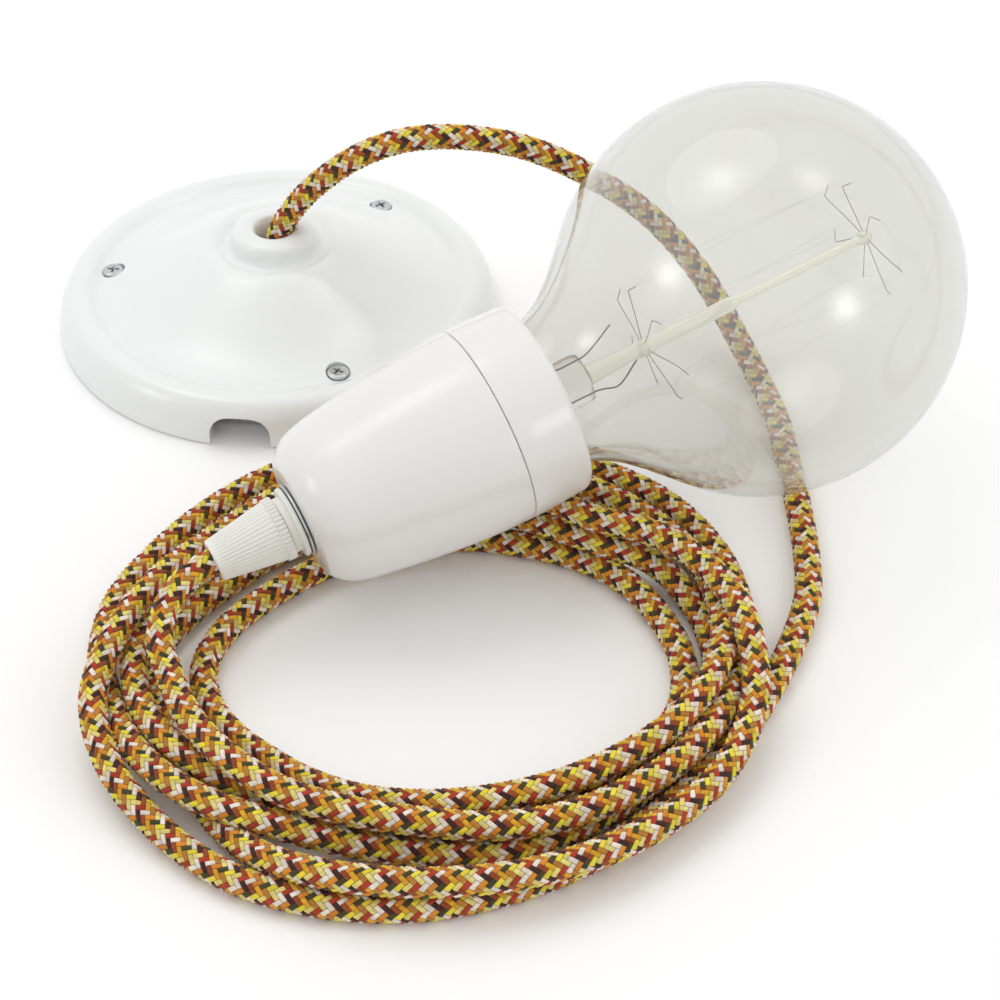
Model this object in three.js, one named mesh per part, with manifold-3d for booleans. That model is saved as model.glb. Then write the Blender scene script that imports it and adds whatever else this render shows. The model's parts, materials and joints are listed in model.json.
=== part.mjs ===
// Pendant cord set: a porcelain ceiling rose, a fabric cord laid in a coil, and a porcelain
// lamp holder with a clear globe bulb, lying on a table. Millimetres, +Z up.
import * as THREE from "three";
import { mergeVertices } from "three/addons/utils/BufferGeometryUtils.js";
import Module from "manifold-3d";

const wasm = await Module();
wasm.setup();

// Clearances
const TOUCH = 0.3;
const THREAD_CLEARANCE = 0.4;
const LAMP_CLEARANCE = 0.65;
const MOUTH_CLEARANCE = 1.3;

// Cord
const CORD_DIAMETER = 6.4;
const CORD_RADIUS = CORD_DIAMETER / 2;
const CORE_RADIUS = 1.1;
const COIL_CENTRE = [-16, -60];
const COIL_OUTER_RADIUS = 77;
const COIL_INNER_RADIUS = 43;
const COIL_HEIGHT = 10.6;

// Ceiling rose
const ROSE_CENTRE = [-58, 76.5];
const ROSE_RADIUS = 57;
const ROSE_WALL = 4.4;
const ROSE_RIM_HEIGHT = 11.8;
const ROSE_RIM_INSET = 6.4;
const ROSE_VALLEY_INSET = 10.4;
const ROSE_HOLLOW_STEP = [10, 4.2];
const ROSE_VALLEY_HEIGHT = 10.3;
const SHOULDER_RADIUS = 17.6;
const SHOULDER_HEIGHT = 22.6;
const BOSS_RADIUS = 11.4;
const BOSS_HEIGHT = 27.7;
const CORD_HOLE_RADIUS = 5.5;
const NOTCH_WIDTH = 15.2;
const NOTCH_HEIGHT = 8.2;
const NOTCH_ANGLE = -96;

// Rose fixings
const SCREW_FIRST_ANGLE = 174;
const SCREW_COUNT = 3;
const SCREW_HEAD_RADIUS = 3;
const SCREW_HEAD_HEIGHT = 1.7;
const SCREW_SHANK_RADIUS = 1.6;
const SCREW_SEAT_HEIGHT = 10.5;
const BRACKET_CLEARANCE = 5;
const BRACKET_BAND = 9;
const BRACKET_THICKNESS = 1.5;
const BRACKET_LIFT = 0.8;
const BRACKET_STRAP_WIDTH = 22;
const PILLAR_RADIUS = 3.6;
const PILLAR_INSET = 0.4;
const FIXING_SLOT_LENGTH = 9;
const FIXING_SLOT_WIDTH = 4.4;
const FIXING_SLOT_RADIUS = 30;

// Rose wiring
const CLAMP_RADIUS = 7.6;
const CLAMP_HEIGHT = 4.6;
const CLAMP_SCREW_RADIUS = 1.4;
const BLOCK_SIZE = [12, 17, 8.4];
const BLOCK_OFFSET = 17;
const TERMINAL_PITCH = 8;
const TERMINAL_RADIUS = 2.6;
const TERMINAL_BORE = 1.5;
const TERMINAL_SCREW_RADIUS = 1.3;

// Pendant head: where the globe's centre lies, and which way the bulb points
const GLOBE_CENTRE = [59.2, 10.9, 53.6];
const HEAD_HEADING = 26;
const HEAD_RISE = 12.7;

// Porcelain lamp holder, along its own axis from the small end
const HOLDER_LENGTH = 62;
const HOLDER_SEAM = 47;
const HOLDER_END_RADIUS = 14.2;
const HOLDER_SHOULDER_RADIUS = 19.2;
const HOLDER_SHOULDER_LENGTH = 9.3;
const HOLDER_WALL = 4.1;
const HOLDER_FLOOR = 5;
const SPIGOT_LENGTH = 4.6;
const SPIGOT_WALL = 2;
const SPIGOT_CLEARANCE = 0.8;
const INSERT_BACK = 17;
const INSERT_WALL = 1.6;
const INSERT_BASE = 5.5;
const INSERT_DEPTH = 33;
const SHELL_SHEET = 0.45;
const CONTACT_RADIUS = 4;
const CONTACT_SHEET = 1.2;
const RIVET_RADIUS = 2.4;
const HOLDER_TERMINAL_SIZE = [5, 4.4, 4.2];
const HOLDER_TERMINAL_OFFSET = 9;

// Cord grip
const GRIP_THREAD_RADIUS = 4.9;
const GRIP_BORE_RADIUS = CORD_RADIUS + TOUCH;
const GRIP_THREAD_LENGTH = 9.6;
const WASHER_RADIUS = 7.7;
const WASHER_THICKNESS = 0.7;
const FLANGE_RADIUS = 7.5;
const FLANGE_THICKNESS = 1.2;
const COLLET_LENGTH = 9;
const COLLET_RADIUS = 5.3;
const CAP_LENGTH = 18.4;
const CAP_WIDE_RADIUS = 7.1;
const CAP_NARROW_RADIUS = 4.8;
const CAP_WALL = 1.2;
const CROWN_LENGTH = 2.1;
const CROWN_STEP = 0.35;
const RIB_COUNT = 26;
const RIB_DEPTH = 0.32;
const NUT_RADIUS = 8;
const NUT_THICKNESS = 3;

// Bulb
const GLOBE_RADIUS = 47.5;
const GLASS_WALL = 0.7;
const GLOBE_REACH = 118;
const NECK_RADIUS = 17.1;
const NECK_PLACE = 62;
const NECK_ROOT_DEPTH = 6.4;
const NECK_SLACK = 0.5;
const GLOBE_JOIN_ANGLE = -46;
const FLARE_PULL = 13;
const NECK_PULL = 8;
const CAP_SHELL_RADIUS = 13.1;
const CAP_SHELL_SHEET = 0.4;
const CAP_SHELL_LENGTH = 23;
const CAP_CONE_RADIUS = 9.6;
const CAP_CONE_LENGTH = 3.2;
const INSULATOR_RADIUS = 9;
const INSULATOR_THICKNESS = 1.3;
const TIP_RADIUS = 4.4;
const TIP_THICKNESS = 0.8;
const STEM_NECK_RADIUS = 4.6;
const STEM_WALL = 0.9;
const PRESS_PLACE = 66;
const PRESS_LENGTH = 7;
const PRESS_WIDTH = 12;
const PRESS_THICKNESS = 4;
const STEM_TURN = 50;
const ROD_RADIUS = 1.7;
const THIN_ROD_RADIUS = 1.0;
const LOWER_HUB_PLACE = 88;
const ROD_STEP_PLACE = 111;
const UPPER_HUB_PLACE = 147;
const HUB_RADIUS = 2.3;
const HUB_LENGTH = 4;
const WIRE_RADIUS = 0.2;
const LEAD_RADIUS = 0.32;
const LEAD_SWING = -80;
const SUPPORT_COUNT = 7;
const SUPPORT_REACH = 15;
const HOOK_RADIUS = 0.9;
const LOWER_LEAN = -0.35;
const UPPER_LEAN = 0.3;
const LOWER_TURN = 12;
const UPPER_TURN = 16;

// Sizes that follow from what they hold
const roseValleyRadius = ROSE_RADIUS - ROSE_VALLEY_INSET;
const bracketRadius = ROSE_RADIUS - ROSE_WALL - BRACKET_CLEARANCE;
const screwCircleRadius = bracketRadius - PILLAR_RADIUS - PILLAR_INSET;
const neckRootRadius = CAP_SHELL_RADIUS - CAP_SHELL_SHEET - NECK_SLACK;
const screwShellRadius = CAP_SHELL_RADIUS + LAMP_CLEARANCE + SHELL_SHEET;
const insertRadius = screwShellRadius + TOUCH + INSERT_WALL;
const spigotBore = insertRadius + SPIGOT_CLEARANCE;
const spigotRadius = spigotBore + SPIGOT_WALL;
const holderRadius = spigotRadius + TOUCH + HOLDER_WALL;
const mouthBore = NECK_RADIUS + MOUTH_CLEARANCE;
const insertFront = INSERT_BACK + INSERT_BASE;
const contactFront = insertFront + TOUCH + CONTACT_SHEET;
const tipBack = contactFront + TOUCH;
const insulatorBack = tipBack + TIP_THICKNESS;
const coneBack = insulatorBack + INSULATOR_THICKNESS;
const capRim = coneBack + CAP_SHELL_LENGTH;
const neckRoot = capRim - NECK_ROOT_DEPTH;

// Facets
const ROUND = 34;
const BODY_ROUND = 30;
const SMALL_ROUND = 18;
const TINY_ROUND = 10;

// Materials, with the photograph's colours
const material = (color, roughness, metalness = 0) =>
  new THREE.MeshStandardMaterial({ color, roughness, metalness });
const glazedPorcelain = material(0xf1f2f0, 0.18);
const ceramic = material(0xe8e4da, 0.6);
const creamPlastic = material(0xefece1, 0.5);
const whitePlastic = material(0xf0efea, 0.45);
const zincSteel = material(0xb9bcbc, 0.35, 1);
const brass = material(0xc8a050, 0.32, 1);
const nickelSheet = material(0xc9c6bd, 0.3, 1);
const blackGlass = material(0x17171a, 0.25);
const wireMetal = material(0x77736c, 0.4, 1);
const clearGlass = new THREE.MeshStandardMaterial({
  color: 0xeef2f2, roughness: 0.04, metalness: 0, transparent: true, opacity: 0.25,
});
const brownSleeve = material(0x5b3420, 0.5);
const blueSleeve = material(0x2a5fa8, 0.5);
const braidedFabric = material(0xc08f3a, 0.85);

// Geometry helpers

function toSolid(geometry) {
  const bare = geometry.clone();
  bare.deleteAttribute("normal");
  bare.deleteAttribute("uv");
  const merged = mergeVertices(bare, 1e-4);
  const index = Array.from(merged.index.array);
  const kept = [];
  for (let i = 0; i < index.length; i += 3) {
    const [a, b, c] = index.slice(i, i + 3);
    if (a !== b && b !== c && c !== a) kept.push(a, b, c);
  }
  return new wasm.Manifold(new wasm.Mesh({
    numProp: 3,
    vertProperties: new Float32Array(merged.attributes.position.array),
    triVerts: new Uint32Array(kept),
  }));
}

function toGeometry(solid) {
  const mesh = solid.getMesh();
  const geometry = new THREE.BufferGeometry();
  const corners = new Float32Array(mesh.vertProperties);
  geometry.setAttribute("position", new THREE.BufferAttribute(corners, 3));
  geometry.setIndex(Array.from(mesh.triVerts));
  geometry.computeVertexNormals();
  return geometry;
}

function join(first, ...others) {
  let solid = toSolid(first);
  for (const other of others) solid = solid.add(toSolid(other));
  return toGeometry(solid);
}

function cut(body, ...tools) {
  let solid = toSolid(body);
  for (const tool of tools) solid = solid.subtract(toSolid(tool));
  return toGeometry(solid);
}

// Turns a profile of [radius, height] pairs about +Z. It runs anticlockwise: out, up, in, down.
function revolve(profile, segments = ROUND) {
  const points = profile.map(([radius, height]) => new THREE.Vector2(radius, height));
  const onAxis = points[0].x === 0 && points[points.length - 1].x === 0;
  if (!onAxis) points.push(points[0].clone());
  const lathe = new THREE.LatheGeometry(points, segments).rotateX(Math.PI / 2);
  return toGeometry(toSolid(lathe));
}

function rod(radius, from, to, sides = TINY_ROUND) {
  const turned = new THREE.CylinderGeometry(radius, radius, to - from, sides).rotateX(Math.PI / 2);
  return turned.translate(0, 0, (from + to) / 2);
}

function ring(outer, inner, from, to, segments = SMALL_ROUND) {
  return revolve([[inner, from], [outer, from], [outer, to], [inner, to]], segments);
}

function block(size, centre) {
  return new THREE.BoxGeometry(...size).translate(...centre);
}

function circleShape(radius, sides) {
  const shape = new THREE.Shape();
  for (let i = 0; i < sides; i += 1) {
    const angle = (2 * Math.PI * i) / sides;
    const x = radius * Math.cos(angle);
    const y = radius * Math.sin(angle);
    if (i === 0) shape.moveTo(x, y);
    else shape.lineTo(x, y);
  }
  shape.closePath();
  return shape;
}

// A round tube along a smooth curve through the points
function tube(points, radius, steps, sides) {
  const places = points.map((point) => new THREE.Vector3(...point));
  const path = new THREE.CatmullRomCurve3(places, false, "centripetal");
  return new THREE.ExtrudeGeometry(circleShape(radius, sides), {
    steps, extrudePath: path, bevelEnabled: false,
  });
}

function polar(radius, degrees, height = 0) {
  const angle = THREE.MathUtils.degToRad(degrees);
  return [radius * Math.cos(angle), radius * Math.sin(angle), height];
}

// Groups: the rose stands on the floor, and the head lies along its own axis
const object = new THREE.Group();
const rose = new THREE.Group();
rose.position.set(ROSE_CENTRE[0], ROSE_CENTRE[1], 0);
const head = new THREE.Group();
const heading = THREE.MathUtils.degToRad(HEAD_HEADING);
const rise = THREE.MathUtils.degToRad(HEAD_RISE);
const headAxis = new THREE.Vector3(
  Math.cos(rise) * Math.cos(heading), Math.cos(rise) * Math.sin(heading), Math.sin(rise));
const headLeft = new THREE.Vector3(-Math.sin(heading), Math.cos(heading), 0);
const headUp = new THREE.Vector3().crossVectors(headAxis, headLeft);
head.quaternion.setFromRotationMatrix(
  new THREE.Matrix4().makeBasis(headLeft, headUp, headAxis));
head.position.set(...GLOBE_CENTRE).addScaledVector(headAxis, -GLOBE_REACH);
const cords = new THREE.Group();
object.add(rose, head, cords);

function place(group, name, geometry, finish) {
  const mesh = new THREE.Mesh(geometry, finish);
  mesh.name = name;
  group.add(mesh);
  return mesh;
}

// Ceiling rose: domed porcelain with a raised rim, a stepped boss and a cable notch
function roseGeometry() {
  const rimTop = ROSE_RADIUS - ROSE_RIM_INSET;
  const outline = [
    [ROSE_RADIUS - ROSE_WALL - 0.6, 0],
    [ROSE_RADIUS - 0.5, 0],
    [ROSE_RADIUS, 0.6],
    [ROSE_RADIUS - 0.2, ROSE_RIM_HEIGHT * 0.4],
    [ROSE_RADIUS - 1.3, ROSE_RIM_HEIGHT * 0.7],
    [ROSE_RADIUS - 3.4, ROSE_RIM_HEIGHT * 0.93],
    [rimTop + 0.6, ROSE_RIM_HEIGHT],
    [rimTop - 1.4, ROSE_RIM_HEIGHT - 0.3],
    [roseValleyRadius, ROSE_VALLEY_HEIGHT],
  ];
  const domeSteps = 5;
  for (let i = 1; i <= domeSteps; i += 1) {
    const share = i / domeSteps;
    const radius = THREE.MathUtils.lerp(roseValleyRadius - 2, SHOULDER_RADIUS + 2, share);
    const lift = 0.5 - 0.5 * Math.cos(Math.PI * (0.1 + 0.62 * share));
    const full = 0.5 - 0.5 * Math.cos(Math.PI * 0.72);
    outline.push([radius, ROSE_VALLEY_HEIGHT
      + (SHOULDER_HEIGHT - 0.5 - ROSE_VALLEY_HEIGHT) * (lift / full)]);
  }
  outline.push(
    [SHOULDER_RADIUS, SHOULDER_HEIGHT],
    [SHOULDER_RADIUS - 1.6, SHOULDER_HEIGHT - 0.2],
    [BOSS_RADIUS + 2.2, SHOULDER_HEIGHT - 1.3],
    [BOSS_RADIUS + 0.8, SHOULDER_HEIGHT - 0.6],
    [BOSS_RADIUS, BOSS_HEIGHT - 2.6],
    [BOSS_RADIUS - 1, BOSS_HEIGHT - 0.7],
    [BOSS_RADIUS - 2.6, BOSS_HEIGHT],
    [CORD_HOLE_RADIUS + 1.2, BOSS_HEIGHT - 0.2],
    [CORD_HOLE_RADIUS, BOSS_HEIGHT - 1.6],
    [CORD_HOLE_RADIUS, SHOULDER_HEIGHT - ROSE_WALL],
    [SHOULDER_RADIUS - 0.6, SHOULDER_HEIGHT - ROSE_WALL],
    [SHOULDER_RADIUS + ROSE_HOLLOW_STEP[0], ROSE_VALLEY_HEIGHT + ROSE_HOLLOW_STEP[1]],
    [roseValleyRadius - 6, ROSE_VALLEY_HEIGHT - 3],
    [ROSE_RADIUS - ROSE_WALL - 3.4, ROSE_VALLEY_HEIGHT - 3.2],
    [ROSE_RADIUS - ROSE_WALL - 1, ROSE_VALLEY_HEIGHT - 5],
  );
  const tools = [];
  for (let i = 0; i < SCREW_COUNT; i += 1) {
    const [x, y] = polar(screwCircleRadius, screwAngle(i));
    const hole = SCREW_SHANK_RADIUS + THREAD_CLEARANCE;
    tools.push(rod(hole, 0, BOSS_HEIGHT).translate(x, y, 0));
    const seat = SCREW_HEAD_RADIUS + THREAD_CLEARANCE;
    tools.push(rod(seat, SCREW_SEAT_HEIGHT, BOSS_HEIGHT, SMALL_ROUND).translate(x, y, 0));
  }
  tools.push(notchTool());
  return cut(revolve(outline), ...tools);
}

function screwAngle(index) {
  return SCREW_FIRST_ANGLE + (360 / SCREW_COUNT) * index;
}

// The arched cable way through the rim
function notchTool() {
  const half = NOTCH_WIDTH / 2;
  const spring = NOTCH_HEIGHT * 0.35;
  const arch = new THREE.Shape();
  arch.moveTo(-half, -1);
  arch.lineTo(half, -1);
  arch.lineTo(half * 0.97, spring);
  arch.bezierCurveTo(half * 0.9, NOTCH_HEIGHT, half * 0.6, NOTCH_HEIGHT, 0, NOTCH_HEIGHT);
  arch.bezierCurveTo(-half * 0.6, NOTCH_HEIGHT, -half * 0.9, NOTCH_HEIGHT, -half * 0.97, spring);
  arch.closePath();
  const reach = ROSE_RADIUS - bracketRadius + 6;
  const tool = new THREE.ExtrudeGeometry(arch, { depth: reach, bevelEnabled: false, curveSegments: 5 });
  tool.rotateX(Math.PI / 2).rotateZ(Math.PI / 2);
  tool.translate(bracketRadius, 0, 0);
  return tool.rotateZ(THREE.MathUtils.degToRad(NOTCH_ANGLE));
}

function roseScrewGeometry(index) {
  const [x, y] = polar(screwCircleRadius, screwAngle(index));
  const seat = SCREW_SEAT_HEIGHT + TOUCH;
  const top = seat + SCREW_HEAD_HEIGHT;
  const bottom = BRACKET_LIFT + BRACKET_THICKNESS;
  const body = revolve([
    [0, bottom], [SCREW_SHANK_RADIUS, bottom], [SCREW_SHANK_RADIUS, seat],
    [SCREW_HEAD_RADIUS, seat], [SCREW_HEAD_RADIUS, seat + SCREW_HEAD_HEIGHT * 0.45],
    [SCREW_HEAD_RADIUS * 0.66, top - 0.12], [0, top],
  ], SMALL_ROUND);
  const bladeLength = SCREW_HEAD_RADIUS * 1.15;
  const bladeWidth = SCREW_HEAD_RADIUS * 0.24;
  const recess = [bladeLength, bladeWidth, SCREW_HEAD_HEIGHT];
  const first = block(recess, [0, 0, top]);
  const second = block([bladeWidth, bladeLength, SCREW_HEAD_HEIGHT], [0, 0, top]);
  const turned = cut(body, first, second);
  return turned.rotateZ(THREE.MathUtils.degToRad(20 + 35 * index)).translate(x, y, 0);
}

// Steel bracket: a ring with a strap across it, fixing slots and three threaded pillars
function bracketGeometry() {
  const base = BRACKET_LIFT;
  const top = base + BRACKET_THICKNESS;
  const hoop = ring(bracketRadius, bracketRadius - BRACKET_BAND, base, top, ROUND);
  const strapLength = 2 * (bracketRadius - BRACKET_BAND / 2);
  const strap = block([strapLength, BRACKET_STRAP_WIDTH, BRACKET_THICKNESS], [0, 0, (base + top) / 2]);
  const pillars = [];
  const bores = [];
  for (let i = 0; i < SCREW_COUNT; i += 1) {
    const [x, y] = polar(screwCircleRadius, screwAngle(i));
    const pillarTop = ROSE_VALLEY_HEIGHT - 3.2 - TOUCH;
    pillars.push(rod(PILLAR_RADIUS, base, pillarTop, SMALL_ROUND).translate(x, y, 0));
    bores.push(rod(SCREW_SHANK_RADIUS + TOUCH, base - 1, pillarTop + 1).translate(x, y, 0));
  }
  for (const side of [-1, 1]) {
    const slot = [FIXING_SLOT_WIDTH, FIXING_SLOT_LENGTH, 3 * BRACKET_THICKNESS];
    bores.push(block(slot, [side * FIXING_SLOT_RADIUS, 0, top]));
  }
  return cut(join(hoop, strap, ...pillars), ...bores);
}

// Plastic collar with a side screw, which holds the cord under the boss
const clampTop = SHOULDER_HEIGHT - ROSE_WALL - TOUCH;
const clampBottom = clampTop - CLAMP_HEIGHT;

function clampGeometry() {
  const collar = ring(CLAMP_RADIUS, CORD_RADIUS + TOUCH, clampBottom, clampTop);
  const middle = (clampTop + clampBottom) / 2;
  const bore = rod(CLAMP_SCREW_RADIUS + TOUCH, 0, 2 * CLAMP_RADIUS);
  return cut(collar, bore.rotateY(-Math.PI / 2).translate(0, 0, middle));
}

function clampScrewGeometry() {
  const middle = (clampTop + clampBottom) / 2;
  const tip = CORD_RADIUS + TOUCH;
  const screw = rod(CLAMP_SCREW_RADIUS, tip, CLAMP_RADIUS + 1.5);
  return screw.rotateY(-Math.PI / 2).translate(0, 0, middle);
}

// Two-way terminal block on the strap
const blockBottom = BRACKET_LIFT + BRACKET_THICKNESS + TOUCH;
const terminalHeight = blockBottom + BLOCK_SIZE[2] * 0.42;

function terminalBlockGeometry() {
  const centre = [BLOCK_OFFSET, 0, blockBottom + BLOCK_SIZE[2] / 2];
  const bores = [];
  for (const side of [-1, 1]) {
    const y = (side * TERMINAL_PITCH) / 2;
    const way = rod(TERMINAL_RADIUS + TOUCH, -BLOCK_SIZE[0], BLOCK_SIZE[0]).rotateY(Math.PI / 2);
    bores.push(way.translate(BLOCK_OFFSET, y, terminalHeight));
    const well = rod(TERMINAL_SCREW_RADIUS + TOUCH, terminalHeight, terminalHeight + BLOCK_SIZE[2]);
    bores.push(well.translate(BLOCK_OFFSET, y, 0));
  }
  return cut(block(BLOCK_SIZE, centre), ...bores);
}

function roseTerminalGeometry(side) {
  const length = BLOCK_SIZE[0] - 1;
  const sleeve = ring(TERMINAL_RADIUS, TERMINAL_BORE, -length / 2, length / 2, TINY_ROUND);
  const well = rod(TERMINAL_SCREW_RADIUS + TOUCH, 0, 2 * TERMINAL_RADIUS);
  const turned = cut(sleeve.rotateY(Math.PI / 2), well);
  return turned.translate(BLOCK_OFFSET, (side * TERMINAL_PITCH) / 2, terminalHeight);
}

function roseTerminalScrewGeometry(side) {
  const from = terminalHeight + TERMINAL_BORE * 0.4;
  const to = blockBottom + BLOCK_SIZE[2] - 0.6;
  const screw = rod(TERMINAL_SCREW_RADIUS, from, to);
  return screw.translate(BLOCK_OFFSET, (side * TERMINAL_PITCH) / 2, 0);
}

function roseCoreGeometry(side) {
  const start = clampBottom - TOUCH;
  const away = CORE_RADIUS + TOUCH;
  const end = BLOCK_OFFSET - BLOCK_SIZE[0] / 2 - TOUCH;
  const y = (side * TERMINAL_PITCH) / 2;
  return tube([
    [0, side * away, start], [0.6, side * away * 1.1, start - 2.6],
    [4, side * away * 1.6, terminalHeight + 1], [end - 3, y, terminalHeight],
    [end, y, terminalHeight],
  ], CORE_RADIUS, 9, 8);
}

// Lamp holder: porcelain dome and skirt, which meet at a fine seam

function domeRadiusAt(height) {
  const span = HOLDER_SEAM - HOLDER_SHOULDER_LENGTH;
  const share = (height - HOLDER_SHOULDER_LENGTH) / span;
  return HOLDER_SHOULDER_RADIUS
    + (holderRadius - HOLDER_SHOULDER_RADIUS) * Math.sin(share * Math.PI * 0.5);
}

function domeBoreAt(height) {
  return Math.max(domeRadiusAt(height) - HOLDER_WALL, insertRadius + TOUCH);
}

function domeGeometry() {
  const top = HOLDER_SEAM - TOUCH / 2;
  const bore = GRIP_THREAD_RADIUS + THREAD_CLEARANCE;
  const outer = [
    [bore, 0], [HOLDER_END_RADIUS - 1.4, 0], [HOLDER_END_RADIUS, 0.7],
    [HOLDER_END_RADIUS + 1.9, 2.2],
    [HOLDER_SHOULDER_RADIUS - 1.3, HOLDER_SHOULDER_LENGTH * 0.53],
    [HOLDER_SHOULDER_RADIUS, HOLDER_SHOULDER_LENGTH],
  ];
  const inner = [];
  const steps = 6;
  for (let i = 1; i <= steps; i += 1) {
    const height = THREE.MathUtils.lerp(HOLDER_SHOULDER_LENGTH, top, i / steps);
    outer.push([domeRadiusAt(height), height]);
  }
  const cavity = [0.5, 0.72, 0.86, 1];
  for (const share of cavity.slice().reverse()) {
    const height = top * share;
    inner.push([domeBoreAt(height), height]);
  }
  inner.push(
    [insertRadius + TOUCH, INSERT_BACK],
    [HOLDER_END_RADIUS - 0.6, HOLDER_FLOOR + 3],
    [HOLDER_END_RADIUS - 3, HOLDER_FLOOR],
    [bore, HOLDER_FLOOR],
  );
  return revolve([...outer, ...inner], BODY_ROUND);
}

function skirtGeometry() {
  const base = HOLDER_SEAM + TOUCH / 2;
  const lip = holderRadius - 0.5;
  const spigotEnd = HOLDER_SEAM - SPIGOT_LENGTH;
  const spigotFit = domeBoreAt(spigotEnd) - TOUCH;
  return revolve([
    [spigotBore, spigotEnd],
    [spigotFit, spigotEnd],
    [spigotFit, base],
    [holderRadius - 0.15, base],
    [holderRadius + 0.05, base + 1.2],
    [holderRadius - 0.1, (base + HOLDER_LENGTH) / 2],
    [lip, HOLDER_LENGTH - 1.6],
    [lip - 0.5, HOLDER_LENGTH - 0.5],
    [lip - 1.4, HOLDER_LENGTH],
    [mouthBore + 1, HOLDER_LENGTH],
    [mouthBore, HOLDER_LENGTH - 1],
    [mouthBore, base + 4.6],
    [spigotBore, base + 3.4],
  ], BODY_ROUND);
}

function insertGeometry() {
  const bore = RIVET_RADIUS + TOUCH;
  const well = screwShellRadius + TOUCH;
  return revolve([
    [bore, INSERT_BACK], [insertRadius, INSERT_BACK],
    [insertRadius, INSERT_BACK + INSERT_DEPTH], [well, INSERT_BACK + INSERT_DEPTH],
    [well, insertFront], [bore, insertFront],
  ], BODY_ROUND);
}

function screwShellGeometry() {
  const from = insertFront + TOUCH;
  const to = INSERT_BACK + INSERT_DEPTH - 1;
  const inside = screwShellRadius - SHELL_SHEET;
  const lip = CAP_CONE_RADIUS - 0.2;
  return revolve([
    [lip, from], [screwShellRadius, from], [screwShellRadius, to],
    [inside, to], [inside, from + SHELL_SHEET], [lip, from + SHELL_SHEET],
  ], BODY_ROUND);
}

function centreContactGeometry() {
  return revolve([
    [0, INSERT_BACK - 0.4], [RIVET_RADIUS, INSERT_BACK - 0.4],
    [RIVET_RADIUS, insertFront + TOUCH], [CONTACT_RADIUS, insertFront + TOUCH],
    [CONTACT_RADIUS * 0.7, contactFront], [0, contactFront],
  ], SMALL_ROUND);
}

// Brass terminals on the back of the insert
const terminalTop = INSERT_BACK - TOUCH;
const terminalMiddle = terminalTop - HOLDER_TERMINAL_SIZE[2] / 2;

function holderTerminalGeometry(side) {
  const x = side * HOLDER_TERMINAL_OFFSET;
  const body = block(HOLDER_TERMINAL_SIZE, [x, 0, terminalMiddle]);
  const way = rod(CORE_RADIUS + TOUCH, -HOLDER_TERMINAL_SIZE[0], HOLDER_TERMINAL_SIZE[0]);
  const well = rod(TERMINAL_SCREW_RADIUS + TOUCH, 0, 2 * HOLDER_TERMINAL_SIZE[1]);
  return cut(body, way.rotateY(Math.PI / 2).translate(x, 0, terminalMiddle),
    well.rotateX(-Math.PI / 2).translate(x, 0, terminalMiddle));
}

function holderTerminalScrewGeometry(side) {
  const x = side * HOLDER_TERMINAL_OFFSET;
  const screw = rod(TERMINAL_SCREW_RADIUS, CORE_RADIUS + TOUCH, HOLDER_TERMINAL_SIZE[1] / 2 + 1);
  return screw.rotateX(-Math.PI / 2).translate(x, 0, terminalMiddle);
}

function holderCoreGeometry(side) {
  const end = side * (HOLDER_TERMINAL_OFFSET - HOLDER_TERMINAL_SIZE[0] / 2 + 1);
  const away = side * (CORE_RADIUS + TOUCH);
  return tube([
    [away, 0, GRIP_THREAD_LENGTH + TOUCH], [away * 1.2, 0, GRIP_THREAD_LENGTH + 2],
    [away * 2.2, 0, terminalMiddle - 0.6], [end, 0, terminalMiddle],
  ], CORE_RADIUS, 8, 8);
}

// Cord grip: a collet with a flange and a thread, a ribbed cap, a washer and a nut
const washerBack = -TOUCH - WASHER_THICKNESS;
const flangeTop = washerBack - TOUCH;
const flangeBack = flangeTop - FLANGE_THICKNESS;
const capTop = flangeBack - TOUCH;
const capEnd = capTop - CAP_LENGTH;

function washerGeometry() {
  return ring(WASHER_RADIUS, GRIP_THREAD_RADIUS + TOUCH, washerBack, -TOUCH, BODY_ROUND);
}

function gripBaseGeometry() {
  const end = flangeBack - COLLET_LENGTH;
  const front = GRIP_THREAD_LENGTH;
  return revolve([
    [GRIP_BORE_RADIUS, end], [COLLET_RADIUS - 0.9, end], [COLLET_RADIUS, end + 2.4],
    [COLLET_RADIUS, flangeBack], [FLANGE_RADIUS, flangeBack], [FLANGE_RADIUS, flangeTop],
    [GRIP_THREAD_RADIUS, flangeTop], [GRIP_THREAD_RADIUS, front - 0.5],
    [GRIP_THREAD_RADIUS - 0.5, front], [GRIP_BORE_RADIUS, front],
  ], SMALL_ROUND);
}

// The cap's outside: fine ribs along a cone, and a crown of teeth at the wide end
function capOutline(radius, depth) {
  const shape = new THREE.Shape();
  const steps = RIB_COUNT * 4;
  for (let i = 0; i < steps; i += 1) {
    const angle = (2 * Math.PI * i) / steps;
    const reach = i % 4 < 2 ? radius : radius - depth;
    const x = reach * Math.cos(angle);
    const y = reach * Math.sin(angle);
    if (i === 0) shape.moveTo(x, y);
    else shape.lineTo(x, y);
  }
  shape.closePath();
  return shape;
}

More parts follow.
